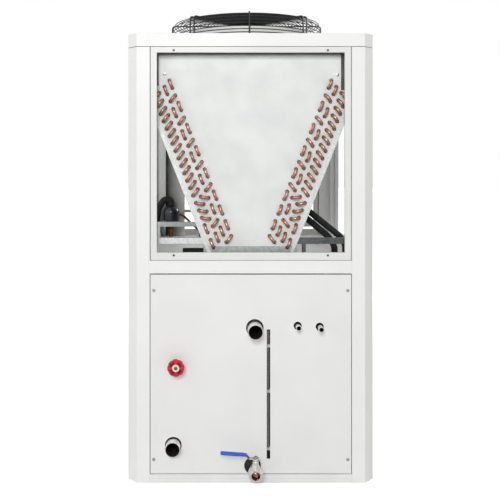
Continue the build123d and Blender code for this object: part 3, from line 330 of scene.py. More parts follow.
# Liquid pipe: older copper, browned
BROWN_COPPER = Finish("aged_copper", "8A5A48", "6A4234", 20, 4, 0.04, 0.4, 0.2, 0.9)


def mm(x: float, y: float, z: float) -> Vector:
    """Returns a point given in millimetres as a vector in metres."""
    return Vector((x, y, z)) * MM


def pick(obj: Piece) -> None:
    """Selects this object alone and makes it the active one."""
    bpy.ops.object.select_all(action="DESELECT")
    obj.select_set(True)
    bpy.context.view_layer.objects.active = obj


@contextmanager
def editing(obj: Piece) -> Iterator[None]:
    """Opens an object in edit mode with all of it selected, and closes it again."""
    pick(obj)
    bpy.ops.object.mode_set(mode="EDIT")
    bpy.ops.mesh.select_all(action="SELECT")
    yield
    bpy.ops.object.mode_set(mode="OBJECT")


def add_object(name: str, data: bpy.types.ID) -> Piece:
    """Adds an object with this data to the scene."""
    made = bpy.data.objects.new(name, data)
    bpy.context.scene.collection.objects.link(made)
    return made


def about_z(turn: float) -> Matrix:
    """Returns a turn about the Z axis, given in degrees."""
    return Matrix.Rotation(math.radians(turn), 4, "Z")


def apply_modifier(obj: Piece, kind: str, **settings: Any) -> None:
    """Adds a modifier, sets it and applies it.

    Args:
        obj: The object that gets it.
        kind: The modifier's type, such as "BEVEL".
        **settings: Its attributes, by name.
    """
    pick(obj)
    made = obj.modifiers.new(kind.lower(), kind)
    for name, value in settings.items():
        setattr(made, name, value)
    bpy.ops.object.modifier_apply(modifier=made.name)


def round_edges(obj: Piece, width: float, segments: int = 2, angle: float = 30.0) -> None:
    """Rounds the edges that turn by more than the angle.

    Args:
        obj: The object to round.
        width: The rounding's width in millimetres.
        segments: Faces across the rounding.
        angle: Smallest turn, in degrees, that counts as an edge.
    """
    limit = math.radians(angle)
    apply_modifier(obj, "BEVEL", width=width * MM, segments=segments, limit_method="ANGLE", angle_limit=limit)


def clean(obj: Piece, flat: float = 0.0) -> None:
    """Merges doubles, melts flat faces together when asked, and turns the faces outwards."""
    with editing(obj):
        bpy.ops.mesh.remove_doubles(threshold=MERGE)
        if flat:
            bpy.ops.mesh.dissolve_limited(angle_limit=math.radians(flat))
        bpy.ops.mesh.normals_make_consistent(inside=False)


def settle(
    obj: Piece,
    name: str,
    finish: Finish,
    body: Body = Body.CABINET,
    nodes: Sequence[str] = (),
    smooth: float = 35.0,
    rounding: float = 0.0,
) -> Piece:
    """Finishes a piece: rounds, smooths, dresses and names it, and hands it to its body.

    Args:
        obj: The piece, finished in shape.
        name: Its name.
        finish: Its finish.
        body: The body that it rides on.
        nodes: CAD nodes that it stands for.
        smooth: Faces that meet at less than this angle, in degrees, shade as one.
        rounding: How wide its edges are rounded, in millimetres, where they aren't yet.

    Returns:
        The same piece.
    """
    if rounding:
        round_edges(obj, rounding)
    pick(obj)
    bpy.ops.object.transform_apply(location=True, rotation=True, scale=True)
    bpy.ops.object.shade_smooth_by_angle(angle=math.radians(smooth))
    apply_modifier(obj, "WEIGHTED_NORMAL", weight=100, keep_sharp=True)
    obj.name = name
    obj.data.name = name
    obj.data.materials.clear()
    obj.data.materials.append(finish.material())
    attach(obj, body.value)
    if nodes:
        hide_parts(*nodes)
    LOG.info("%s: %d faces on %s", name, len(obj.data.polygons), body.value)
    return obj


def copy_node(node: str) -> Piece:
    """Adds a copy of a CAD node, with its flat faces melted together."""
    made = add_object(node + "_rounded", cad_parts[node].data.copy())
    clean(made, flat=1.0)
    return made


def soften(
    node: str,
    finish: Finish,
    width: float,
    body: Body = Body.CABINET,
    segments: int = 2,
    angle: float = 30.0,
) -> Piece:
    """Puts a copy of a CAD node with rounded edges in its place.

    Args:
        node: The CAD node.
        finish: The copy's finish.
        width: The rounding's width in millimetres.
        body: The body that the node rides on.
        segments: Faces across the rounding.
        angle: Smallest turn, in degrees, that is rounded.

    Returns:
        The copy.
    """
    made = copy_node(node)
    round_edges(made, width, segments, angle)
    return settle(made, node + "_rounded", finish, body, [node])


def join(pieces: Sequence[Piece]) -> Piece:
    """Joins pieces into the first one, which is returned."""
    pick(pieces[0])
    for piece in pieces[1:]:
        piece.select_set(True)
    if len(pieces) > 1:
        bpy.ops.object.join()
    bpy.ops.object.transform_apply(location=True, rotation=True, scale=True)
    return pieces[0]


def scatter(pattern: Piece, places: Iterable[Matrix]) -> Piece:
    """Copies a piece to each place, each copy with its own mesh, and joins them.

    Args:
        pattern: The piece, modelled about the origin. It goes away.
        places: Where the copies stand.

    Returns:
        The joined copies.
    """
    copies = []
    for place in places:
        copy = add_object(pattern.name, pattern.data.copy())
        copy.matrix_world = place
        copies.append(copy)
    bpy.data.objects.remove(pattern, do_unlink=True)
    bpy.context.view_layer.update()
    return join(copies)


def block(low: Point, high: Point) -> Piece:
    """Adds a box between two corners, in millimetres."""
    middle = [(a + b) / 2 for a, b in zip(low, high)]
    bpy.ops.object.select_all(action="DESELECT")
    scale = [(b - a) * MM for a, b in zip(low, high)]
    bpy.ops.mesh.primitive_cube_add(size=1, location=mm(*middle), scale=scale)
    made = bpy.context.object
    bpy.ops.object.transform_apply(location=True, rotation=True, scale=True)
    return made


def loop(points: Sequence[Vector], fill: str = "NOTHING") -> Piece:
    """Adds a closed loop through points in metres, as bare edges or, with "NGON", as one face."""
    bpy.ops.object.select_all(action="DESELECT")
    bpy.ops.mesh.primitive_circle_add(vertices=len(points), radius=1, fill_type=fill, location=ORIGIN)
    made = bpy.context.object
    for vertex, point in zip(made.data.vertices, points):
        vertex.co = point
    return made


def turned(profile: Sequence[Point], base: Point, axis: Point, steps: int = 48) -> Piece:
    """Turns a closed profile about an axis, as on a lathe.

    Args:
        profile: Radius and height of its corners, in millimetres, in order round it.
        base: The point on the axis where the height is zero, in millimetres.
        axis: Direction of growing height.
        steps: Facets round the axis.

    Returns:
        The turned piece.
    """
    along = Vector(axis).normalized()
    out = along.orthogonal().normalized()
    made = loop([mm(*base) + (out * radius + along * height) * MM for radius, height in profile])
    with editing(made):
        bpy.ops.mesh.spin(steps=steps, angle=math.tau, center=mm(*base), axis=along)
    clean(made)
    return made


def bent_pipe(points: Sequence[Point], radius: float, bend: float = 1.0, sides: int = 12) -> Piece:
    """Runs a round pipe through points, with its corners bent to a radius.

    Args:
        points: The corners, in millimetres.
        radius: The pipe's radius in millimetres.
        bend: How far from each corner its bend starts, in millimetres.
        sides: Facets round the pipe.

    Returns:
        The pipe, with closed ends.
    """
    corners = [Vector(p) for p in points]
    knots = [(corners[0], corners[0], corners[0])]
    for before, corner, after in zip(corners, corners[1:], corners[2:]):
        way_in = (before - corner).normalized() * bend
        way_out = (after - corner).normalized() * bend
        knots.append((corner + way_in, corner + way_in * LINE_HANDLE, corner + way_in * ARC_HANDLE))
        knots.append((corner + way_out, corner + way_out * ARC_HANDLE, corner + way_out * LINE_HANDLE))
    knots.append((corners[-1], corners[-1], corners[-1]))
    bpy.ops.object.select_all(action="DESELECT")
    bpy.ops.curve.primitive_bezier_curve_add(location=(0, 0, 0))
    made = bpy.context.object
    spline = made.data.splines[0]
    spline.bezier_points.add(len(knots) - len(spline.bezier_points))
    for knot, (place, left, right) in zip(spline.bezier_points, knots):
        knot.handle_left_type = knot.handle_right_type = "FREE"
        knot.co, knot.handle_left, knot.handle_right = place * MM, left * MM, right * MM
    made.data.resolution_u = 6
    made.data.bevel_depth = radius * MM
    made.data.bevel_resolution = (sides - 4) // 2
    made.data.use_fill_caps = True
    bpy.ops.object.convert(target="MESH")
    made = bpy.context.object
    clean(made)
    return made


def slab(outline: Sequence[Point], low: float, high: float, upright: bool = False) -> Piece:
    """Extrudes a flat outline to a plate.

    Args:
        outline: Its corners, in millimetres: X and Y, or X and Z of an upright plate.
        low: Where it starts along Z, or along Y where it is upright.
        high: Where it ends.
        upright: Whether the plate stands across the front.

    Returns:
        The plate.
    """
    made = loop([mm(u, low, v) if upright else mm(u, v, low) for u, v in outline], "NGON")
    way = mm(0, high - low, 0) if upright else mm(0, 0, high - low)
    with editing(made):
        bpy.ops.mesh.extrude_region_move(TRANSFORM_OT_translate={"value": way})
    clean(made)
    return made


def hexagon(place: Point, radius: float, length: float, upright: bool = False) -> Piece:
    """Adds a six-sided head with rounded edges.

    Args:
        place: The middle of its first face, in millimetres.
        radius: From its middle to a corner, in millimetres.
        length: How far it reaches up, or to the back where it is upright.
        upright: Whether its faces stand across the front.

    Returns:
        The head.
    """
    x, y, z = place
    across, up, start = (x, z, y) if upright else (x, y, z)
    turns = [math.radians(60 * k) for k in range(6)]
    outline = [(across + radius * math.cos(turn), up + radius * math.sin(turn)) for turn in turns]
    made = slab(outline, start, start + length, upright)
    round_edges(made, min(1.0, length * 0.2))
    return made


def cut_above(obj: Piece, height: float) -> None:
    """Cuts off what stands above this height in millimetres, and closes the cut."""
    with editing(obj):
        bpy.ops.mesh.bisect(plane_co=mm(0, 0, height), plane_no=UP, use_fill=True, clear_outer=True)


def paint(obj: Piece, finish: Finish, chosen: Callable[[Vector], bool]) -> None:
    """Gives a second finish to the faces whose middles, in metres, are chosen."""
    obj.data.materials.append(finish.material())
    for face in obj.data.polygons:
        if chosen(face.center):
            face.material_index = len(obj.data.materials) - 1


def ring(radius: float, wire: float, height: float, steps: int = 96) -> Piece:
    """Adds a level ring of round wire about the Z axis, in millimetres."""
    bpy.ops.object.select_all(action="DESELECT")
    bpy.ops.mesh.primitive_torus_add(
        major_radius=radius * MM,
        minor_radius=wire * MM,
        major_segments=steps,
        minor_segments=8,
        location=mm(0, 0, height),
    )
    return bpy.context.object


def facing(place: Point, turn: float = 0.0) -> Matrix:
    """Returns a place on the side that is turned this many degrees from the front."""
    return about_z(turn) @ Matrix.Translation(mm(*place))


SIDES = {"front": 0.0, "right": 90.0, "rear": 180.0, "left": 270.0}


@dataclass
class Cabinet:
    """The white sheet cabinet: posts, cap, frames, panels and rails, with their joints and fasteners."""

    half: float = 500.0
    chamfer: float = 39.0
    cap_bottom: float = 1762.0
    joint: float = 2.5
    joint_depth: float = 4.0
    face: float = 498.5
    screw_x: float = 311.0
    screw_heights: Pair = (918.0, 1746.0)
    lock_x: float = 391.5
    lock_heights: Pair = (94.0, 776.0)
    strip_depth: float = 8.0
    gap: float = 3.4
    gap_sides: Pair = (-407.7, 404.3)
    gap_foot: Pair = (897.2, 898.8)
    gap_setback: float = 3.0
    gap_depth: float = 5.0

    def build(self) -> None:
        """Builds every piece of the cabinet."""
        for corner in ("front_left", "front_right", "rear_left", "rear_right"):
            self.cut_sheet("post_" + corner, COAT)
        for side in SIDES:
            self.cut_sheet("window_frame_" + side, FRAME)
            soften("cross_rail_" + side, COAT, 0.9)
            soften("panel_" + side, PANEL, 0.7)
        for node, finish, width in (
            ("roof_cap", COAT, 0.9),
            ("base_rails", BASE_COAT, 1.5),
            ("deck", COAT, 0.7),
            ("tank_bearers", ZINC, 1.5),
            ("water_tank", FOAM, 6.0),
        ):
            soften(node, finish, width)
        self.joints()
        self.fasteners()

    def cut_sheet(self, node: str, finish: Finish) -> None:
        """Replaces a sheet by a rounded copy that ends a joint's height below the cap."""
        made = copy_node(node)
        cut_above(made, self.cap_bottom - self.joint)
        settle(made, node + "_rounded", finish, nodes=[node], rounding=0.9)

    def joints(self) -> None:
        """Lays a grey strip of painted shadow in the joint between the cap and what carries it."""
        low, top = self.cap_bottom - self.joint, self.cap_bottom
        reach, out = self.half - self.chamfer, self.half - self.joint_depth
        half_slope = self.chamfer / math.sqrt(2)
        slope = (2 * self.half - self.chamfer) / math.sqrt(2) - self.joint_depth
        turns = [90 * k for k in range(4)]
        bar = block((-reach, -out, low), (reach, -out + self.strip_depth, top))
        bars = scatter(bar, [about_z(turn) for turn in turns])
        corner = block((-half_slope, -slope, low), (half_slope, -slope + self.strip_depth, top))
        corners = scatter(corner, [about_z(turn) @ about_z(45) for turn in turns])
        # A grey strip of painted shadow under the cap
        settle(join([bars, corners]), "cap_shadow_line", SHADE_LINE, rounding=0.5)
        self.frame_shade_strips()

    def frame_shade_strips(self) -> None:
        """Fills the gaps round the window frames with grey strips, set back a little, that are painted shade
        for the gaps.
        """
        front, (low, high) = self.gap_setback - self.face, self.gap_foot
        back, top = front + self.gap_depth, self.cap_bottom - self.joint
        sides = [block((x, front, 899), (x + self.gap, back, top)) for x in self.gap_sides]
        foot = block((-404, front, low), (404, back, high))
        # Grey strips of painted shade in the gaps round the frames
        strips = scatter(join(sides + [foot]), [about_z(turn) for turn in SIDES.values()])
        settle(strips, "frame_shade_strips", SHADE_LINE, rounding=0.4)

    def fasteners(self) -> None:
        """Sets the screws of the window frames and the quarter-turn locks of the panels on each side."""
        for name, node, finish, radius, x, heights in (
            ("frame_screws", "window_frame_front", SCREW, 4.5, self.screw_x, self.screw_heights),
            ("panel_locks", "panel_front", PLATED, 7.0, self.lock_x, self.lock_heights),
        ):
            rim = [(radius, 0), (radius, 0.5), (radius - 0.6, 1.0)]
            slot = [(radius * 0.45, 1.0), (radius * 0.4, 0.4)]
            head = turned([(0, 0), *rim, *slot, (0, 0.4)], ORIGIN, FORWARD, 24)
            places = [
                facing((across, -self.face, height), turn)
                for turn in SIDES.values()
                for across in (-x, x)
                for height in heights
            ]
            settle(scatter(head, places), name, finish)


@dataclass
class Coils:
    """The two leaning fin-and-tube coils with their end plates, return bends, headers, rails and pan."""

    tilt: float = 21.7
    tube_pitch: float = 32.7
    row_pitch: float = 28.319
    top_x: float = 326.3
    top_z: float = 1614.27
    tube: float = 12.7
    plate_face: float = -450.0
    brazed: float = 10.5
    bend_leg: float = 5.0
    rear: float = 380.0
    block_rows: Pair = (-0.5, 3.5)
    block_steps: Pair = (-1.0, 21.5)
    strip_rows: Pair = (3.62, 4.08)
    strip_steps: Pair = (-0.9, 21.4)
    shade_inset: float = 0.16
    shadow_heights: Pair = (1736.5, 1744.8)
    shadow_sides: Pair = (-376.5, 372.0)
    fin_pitch: float = 5.0
    fin_thickness: float = 2.3
    fin_span: Pair = (-446.5, 336.5)
    shaded_rail_from: float = 150.0

    def centre(self, row: float, steps: float, side: int = 1) -> Pair:
        """Returns X and Z of a tube's centre, in millimetres.

        Args:
            row: Rows outwards from the inner one.
            steps: Tubes down from the top one.
            side: One for the right coil, minus one for the left.
        """
        lean = math.radians(self.tilt)
        down, out = steps * self.tube_pitch, row * self.row_pitch
        return (
            side * (self.top_x - down * math.sin(lean) + out * math.cos(lean)),
            self.top_z - down * math.cos(lean) - out * math.sin(lean),
        )

    def build(self) -> None:
        """Builds every piece of the coils."""
        for side, word in ((-1, "left"), (1, "right")):
            self.fins(side, word)
            self.bends(side, word)
            self.header(side, word)
            self.edge_strip(side, word)
        for node, finish in (("end_plate_front", PLATE), ("end_plate_rear", PLATE), ("drain_pan", ZINC)):
            soften(node, finish, 0.8)
        rails, limit = soften("coil_rails", PLATE_EDGE, 0.8), self.shaded_rail_from * MM
        # The right front rail gets painted shade: the same zinc, darker
        paint(rails, SHADED_ZINC, lambda at: at.x > limit and at.y < 0)
        self.plate_shadow()
        self.plate_screws()

    def corners(self, side: int, inset: float) -> list[Pair]:
        """Returns the corners of the fin block, drawn in by an inset given in rows."""
        grow = inset * self.row_pitch / self.tube_pitch
        (inner, outer), (top, low) = self.block_rows, self.block_steps
        return self.square((inner + inset, outer - inset), (top + grow, low - grow), side)

    def square(self, rows: Pair, steps: Pair, side: int) -> list[Pair]:
        """Returns the four corners of a piece that leans with a coil, by rows and steps."""
        (inner, outer), (top, low) = rows, steps
        return [self.centre(*at, side) for at in ((inner, top), (outer, top), (outer, low), (inner, low))]

    def fins(self, side: int, word: str) -> None:
        """Stacks one coil's fins round a dull grey block of painted shade that shows between them."""
        first, last = self.fin_span
        fin = slab(self.corners(side, 0.0), first, first + self.fin_thickness, upright=True)
        apply_modifier(
            fin,
            "ARRAY",
            count=int((last - first) / self.fin_pitch),
            use_relative_offset=False,
            use_constant_offset=True,
            constant_offset_displace=mm(0, self.fin_pitch, 0),
        )
        settle(fin, "fins_" + word, FINS, nodes=["coil_" + word])
        # A block inside the fins, painted shade for the gaps between them
        core = slab(self.corners(side, self.shade_inset), first + 1, last - 1, upright=True)
        settle(core, "fin_gap_shade_" + word, FIN_SHADE, rounding=2.0)

    def pairs(self) -> list[tuple[float, float, float, float]]:
        """Returns the two tubes that each return bend joins, as row, steps, row, steps."""
        found = [(0, s - 0.5, 0, s + 0.5) for s in (0, 3, 6, 9, 12, 15, 17, 19)]
        found += [(0, s, 1, s + 0.5) for s in (1.5, 4.5, 7.5, 10.5, 13.5, 20.5)]
        found += [(1, s, 1, s + 1) for s in (0, 3, 6, 9, 12, 16, 19)]
        found += [(2, s + 0.5, 3, s + 1) for s in range(14)]
        found += [(2, s + 0.5, 3, s) for s in (15, 16, 17)]
        found += [(2, 14.5, 1, 15), (1, 18, 2, 18.5), (2, 19.5, 2, 20.5), (3, 18, 3, 19), (3, 20, 3, 21)]
        return found

    def bends(self, side: int, word: str) -> None:
        """Sets one coil's return bends, with the brazed sleeves at their feet."""
        half = self.tube_pitch / 2
        apex = -self.bend_leg - half
        corners = [(half, 0, 0), (half, apex, 0), (-half, apex, 0), (-half, 0, 0)]
        bend = bent_pipe(corners, self.tube / 2, half - 0.1, 12)
        sleeve = [(6.2, 0), (8.0, 0), (8.2, 1.0), (7.4, 4.0), (6.9, 5.0), (6.2, 5.0)]
        feet = join([turned(sleeve, (x, 0, 0), FORWARD, 16) for x in (-half, half)])
        places = []
        for row_a, steps_a, row_b, steps_b in self.pairs():
            ax, az = self.centre(row_a, steps_a, side)
            bx, bz = self.centre(row_b, steps_b, side)
            turn = math.atan2(bz - az, bx - ax)
            middle = mm((ax + bx) / 2, self.plate_face, (az + bz) / 2)
            places.append(Matrix.Translation(middle) @ Matrix.Rotation(-turn, 4, "Y"))
        node = "return_bends_" + word
        bends = settle(scatter(bend, places), "bends_" + word, COPPER, nodes=[node], smooth=60)
        paint(bends, BRAZED, lambda at: at.y > (self.plate_face - self.brazed) * MM)
        settle(scatter(feet, places), "brazed_joints_" + word, BRAZED)

    def header(self, side: int, word: str) -> None:
        """Runs the header along the back of one coil, with its four stubs."""
        (top_x, top_z), (low_x, low_z) = self.centre(1.5, 2, side), self.centre(1.5, 19, side)
        length = math.hypot(top_x - low_x, top_z - low_z)
        rounding = [(0, 0), (8, 1.5), (12.5, 5), (14, 10)]
        profile = rounding + [(radius, length - height) for radius, height in reversed(rounding)]
        pieces = [turned(profile, (low_x, self.rear, low_z), (top_x - low_x, 0, top_z - low_z), 24)]
        stub = [(0, 0), (6, 0), (6, 36), (7.5, 38), (7.5, 40), (0, 40)]
        for steps in (3, 8, 13, 18):
            x, z = self.centre(1.5, steps, side)
            pieces.append(turned(stub, (x, self.rear, z), FORWARD, 16))
        settle(join(pieces), "header_" + word, COPPER, nodes=["coil_headers_" + word])

    def edge_strip(self, side: int, word: str) -> None:
        """Lays the steel strip along the outer edge of the front end plate."""
        corners = self.square(self.strip_rows, self.strip_steps, side)
        strip = slab(corners, self.plate_face - 0.8, self.plate_face + 0.2, upright=True)
        settle(strip, "plate_edge_" + word, PLATE_EDGE, rounding=0.3)

    def plate_shadow(self) -> None:
        """Lays a dark strip of painted shadow between the front end plate's edges and the window frame, and a
        paler grey lip below it where the shadow fades.
        """
        front, back = self.plate_face - 1.2, self.plate_face + 0.2
        (low, top), (left, right) = self.shadow_heights, self.shadow_sides
        bars = [
            block((-436, front, low), (436, back, top)),
            block((-386, front, 1608), (left, back, low)),
            block((right, front, 1590), (386, back, low)),
        ]
        # Dark strips of painted shadow under the frame's top and sides
        settle(join(bars), "plate_shadow", SHADOW_STRIP, rounding=0.4)
        # A paler grey strip below, painted shadow fading out
        lip = block((left, front + 0.4, low - 5), (right, back, low))
        settle(lip, "plate_seal_lip", SHADE_LINE, rounding=0.3)

    def plate_screws(self) -> None:
        """Sets the two washer-head screws at the top of the front end plate."""
        washer, hexed = [(0, 0), (7, 0), (7, 0.8)], [(5, 1.2), (4.6, 3.0), (3.6, 3.6), (0, 3.6)]
        places = [Matrix.Translation(mm(x, self.plate_face, z)) for x, z in ((-352, 1656), (358, 1652))]
        heads = scatter(turned(washer + hexed, ORIGIN, FORWARD, 24), places)
        settle(heads, "plate_screws", PLATED)


@dataclass
class Fan:
    """The fan on the roof: collar, guard, impeller and motor."""

    roof: float = 1815.0
    throat: float = 320.0
    collar_top: float = 1880.0
    rod_radius: float = 3.5
    rod_circle: float = 350.5
    rod_top: float = 1935.0
    pair_half: float = 12.5
    wire: float = 2.0
    side_circle: float = 345.0
    top_circle: float = 339.1
    pitch: float = 13.6
    plate_radius: float = 100.0
    bolt_circle: float = 58.0
    below_rods: float = 5.5
    motor_low: float = 1802.0
    motor_high: float = 1929.4

    def build(self) -> None:
        """Builds every piece of the fan."""
        self.collar()
        self.rods()
        self.rings()
        self.motor()
        soften("fan_impeller", MOULDED, 1.6, Body.FAN, 2, 25)

    def collar(self) -> None:
        """Turns the white inlet collar, with its rolled lip, flare and flange."""
        inside, outside, roof, top = self.throat, self.throat + 2, self.roof, self.collar_top
        profile = [
            (inside + 12, 1689), (inside + 9.5, 1690.6), (inside + 5, 1694), (inside + 2, 1698),
            (inside + 0.3, 1702), (inside, 1706), (inside, top - 1.2), (inside + 0.6, top),
            (outside - 0.2, top), (outside, top - 1), (outside, roof + 4), (outside + 1.2, roof + 2.2),
            (343.5, roof + 2.0), (345, roof + 1.2), (345, roof + 0.2), (outside, roof + 0.2),
            (outside, 1706), (outside + 0.6, 1702), (outside + 3, 1697.5), (outside + 7, 1693.5),
            (outside + 11.5, 1690),
        ]
        settle(turned(profile, ORIGIN, UP, 96), "fan_collar", COAT, nodes=["fan_bellmouth"])

    def rods(self) -> None:
        """Bends the guard's rods over its shoulder, and puts its plate in the middle."""
        places = []
        for k in range(8):
            offsets = (-self.pair_half, self.pair_half) if k % 2 else (0.0,)
            places += [about_z(45 * k) @ Matrix.Translation(mm(0, off, 0)) for off in offsets]
        edge, reach, top = self.plate_radius, self.rod_circle, self.rod_top
        corners = [(reach, 0, self.roof), (reach, 0, top), (edge - 3, 0, top)]
        rod = bent_pipe(corners, self.rod_radius, 13.0, 10)
        foot = turned([(0, 0), (8, 0), (8, 1.6), (7, 2.4), (0, 2.4)], (reach, 0, self.roof), UP, 20)
        rods = scatter(join([rod, foot]), places)
        low = top - self.below_rods
        rim = [(edge - 1.5, low), (edge, low + 1.2), (edge, low + 2.8), (edge - 1.5, low + 4)]
        dish = [(edge * 0.72, low + 4), (edge * 0.68, low + 3)]
        plate = turned([(0, low), *rim, *dish, (0, low + 3)], ORIGIN, UP, 64)
        bolts = []
        for k in range(4):
            turn = math.pi / 4 + k * math.pi / 2
            place = (self.bolt_circle * math.cos(turn), self.bolt_circle * math.sin(turn), low + 3)
            bolts.append(hexagon(place, 6.5, 4.2))
        settle(join([rods, plate] + bolts), "guard_rods", WIRE, nodes=["fan_guard"])

    def rings(self) -> None:
        """Makes the wire rings inside the rods: six round the side and eighteen under the top."""
        side = [ring(self.side_circle, self.wire, self.roof + 33 + self.pitch * k) for k in range(6)]
        settle(join(side), "guard_side_rings", WIRE, nodes=["fan_guard_bands"])
        height = self.rod_top - self.below_rods
        places = [(self.top_circle - self.pitch * k, 96 if k < 10 else 64) for k in range(18)]
        top = [ring(radius, self.wire, height, steps) for radius, steps in places]
        settle(join(top), "guard_top_rings", WIRE, nodes=["fan_guard_rings"])

    def motor(self) -> None:
        """Turns the motor with its cooling grooves, and its shaft."""
        low, high = self.motor_low, self.motor_high
        profile = [(0, low), (80, low), (88, low + 3), (92, low + 9)]
        for k in range(4):
            groove = low + 18 + 20 * k
            profile += [(92, groove), (87, groove + 2), (87, groove + 7), (92, groove + 9)]
        profile += [(92, high - 16), (84, high - 6), (84, high), (0, high)]
        body = turned(profile, ORIGIN, UP, 64)
        shaft = turned([(0, 1710), (11, 1710), (12, 1711), (12, low), (0, low)], ORIGIN, UP, 24)
        settle(join([body, shaft]), "motor_ribbed", CASTING, nodes=["fan_motor"])


@dataclass
class Plumbing:
    """What pokes through the lower panel: pipe stubs, bypass valve, gauge and drain valve."""

    tank_front: float = -350.0
    panel_front: float = -500.0
    drain_x: float = 16.0
    drain_z: float = 69.0
    drain_face: float = -600.0
    stem_y: float = -569.0
    wheel_x: float = -300.0
    wheel_z: float = 476.0
    nut_from: float = -546.3
    gauge_x: float = 71.2
    gauge_y: float = -466.5
    main_pipe: Pair = (30.15, 2.9)
    small_pipe: Pair = (10.65, 2.6)
    ball_radius: float = 18.0
    ball_bore: float = 12.5
    lever_back: float = -559.0
    lever_front: float = -579.0
    kink_from: float = -9.0

    def build(self) -> None:
        """Builds every piece of the plumbing."""
        self.stub("outlet_pipe", 16, 624, 70, *self.main_pipe)
        self.stub("inlet_pipe", -313, 151, 45, *self.main_pipe)
        # Black rings of painted shade in the gaps round the main pipes
        self.gap_shade("outlet_pipe", 16, 625.5, 5.2)
        self.gap_shade("inlet_pipe", -313, 152, 3.6)
        self.stub("fill_pipe", 189, 634, 45, *self.small_pipe)
        self.stub("overflow_pipe", 278, 630, 52, *self.small_pipe)
        self.bypass()
        self.gauge()
        self.drain_body()
        self.drain_ball()
        self.drain_lever()

    def stub(self, node: str, x: float, z: float, reach: float, radius: float, wall: float) -> None:
        """Turns an open pipe stub with a rounded rim, and lines its bore with dark painted shade.

        Args:
            node: The CAD node that it stands for.
            x: Where its axis is, across.
            z: Where its axis is, up.
            reach: How far it stands out of the panel.
            radius: Its outer radius.
            wall: Its wall.
        """
        base, bore = (x, self.tank_front, z), radius - wall
        length = self.tank_front - self.panel_front + reach
        rim = [(radius, length - 1), (radius - 0.9, length), (bore + 0.7, length), (bore, length - 1)]
        pipe = turned([(bore, 0), (radius, 0), *rim], base, FORWARD, 48)
        settle(pipe, node + "_turned", STEEL, nodes=[node])
        # A dark lining inside the bore is painted shade
        outer, inner, end = bore + 0.2, bore - 0.3, length - 4
        shade_lining = [(0, 20), (outer, 20), (outer, end), (inner, end), (inner, 21), (0, 21)]
        settle(turned(shade_lining, base, FORWARD, 48), node + "_inside", PIPE_SHADE)

    def gap_shade(self, node: str, x: float, z: float, width: float) -> None:
        """Lays a black ring round a main pipe where it leaves the panel: painted shade for the dark gap
        between the pipe and its hole.

        Args:
            node: The pipe's CAD node.
            x: Where its axis is, across.
            z: Where its axis is, up.
            width: How far the ring shows beyond the pipe.
        """
        radius, _ = self.main_pipe
        inside, outside = radius - 1.2, radius + width
        profile = [(inside, -14), (outside, -14), (outside, 0.3), (outside - 0.8, 0.7), (inside, 0.2)]
        made = turned(profile, (x, self.panel_front + 1.5, z), FORWARD, 48)
        settle(made, node + "_grommet", RUBBER)

    def bypass(self) -> None:
        """Rounds the bypass valve and its wheel, puts the pale plate on the hub, and a darker red disc of
        painted shade behind the spokes.
        """
        valve = soften("bypass_valve", CAST_STEEL, 1.2)
        paint(valve, BROWN_COPPER, lambda at: at.y < self.nut_from * MM)
        soften("bypass_handwheel", RED, 2.6, Body.WHEEL, 3, 35)
        plate = [(5.5, 0), (14.5, 0), (14.5, 0.5), (13.8, 1.0), (6.2, 1.0), (5.5, 0.6)]
        # A darker red disc behind the spokes is painted shade
        shade_disc = [(12, 0), (28.5, 0), (28.5, 2.0), (12, 3.0)]
        for name, finish, profile, y in (
            ("wheel_plate", CREAM, plate, -546.2),
            ("wheel_spoke_shade", RED_SHADE, shade_disc, -534.4),
        ):
            made = turned(profile, (self.wheel_x, y, self.wheel_z), FORWARD, 40)
            settle(made, name, finish, Body.WHEEL)

    def gauge(self) -> None:
        """Makes the clear gauge tube, what stands in it, its foot and the clips that hold it."""
        base = (self.gauge_x, self.gauge_y, 87)
        tube = [(4.6, 0), (6, 0), (6, 541.2), (5.6, 542), (4.9, 542), (4.6, 541.2)]
        settle(turned(tube, base, UP, 24), "gauge_tube", ACRYLIC, nodes=["level_gauge"])
        filling = (("gauge_liquid", MARKER, 30, 99), ("gauge_column", COLUMN, 100, 538))
        for name, finish, low, high in filling:
            column = [(0, low), (3.8, low), (4.2, low + 1), (4.2, high - 1), (3.8, high), (0, high)]
            settle(turned(column, base, UP, 20), name, finish)
        fitting = [(0, 0.2), (6.1, 0.2), (6.5, 1), (6.5, 32), (6.1, 33), (0, 33)]
        settle(turned(fitting, base, UP, 24), "gauge_fitting", RUBBER)
        soften("gauge_clips", CLIP, 1.5)

    def drain_body(self) -> None:
        """Turns the drain valve's pipe, body, socket and neck, and a dark disc of painted shade behind its
        hole.
        """
        x, y, z = self.drain_x, self.stem_y, self.drain_z
        base = (x, self.drain_face, z)
        shell = [
            (17, 1.2), (18, 0.2), (20, 0), (24.6, 0), (26, 1.6), (26, 11.5), (24.6, 13), (25.6, 15),
            (28, 18), (28, 44), (26.5, 47.5), (23.5, 49), (18.3, 49), (18.3, 13.5), (17, 12),
        ]
        body = turned(shell, base, BACKWARD, 64)
        end = hexagon((x, -551, z), 27, 13, upright=True)
        pipe = turned([(0, 62), (16.85, 62), (16.85, 250), (0, 250)], base, BACKWARD, 40)
        narrowing = [(14, 24), (13, 33), (12, 35), (12, 47), (10.8, 49.6)]
        neck = turned([(0, 24), *narrowing, (0, 50)], (x, y, z), UP, 32)
        gland = hexagon((x, y, 119), 11, 6.2)
        # A black disc behind the panel's hole is painted shade that makes the hole read black
        shade = turned([(0, 0), (33.7, 0), (33.7, 1.2), (0, 1.2)], (x - 9, -496.2, z), BACKWARD, 40)
        settle(shade, "drain_hole_shade", RUBBER)
        settle(join([body, end, pipe, neck, gland]), "drain_body", CAST_STEEL, nodes=["drain_valve"])

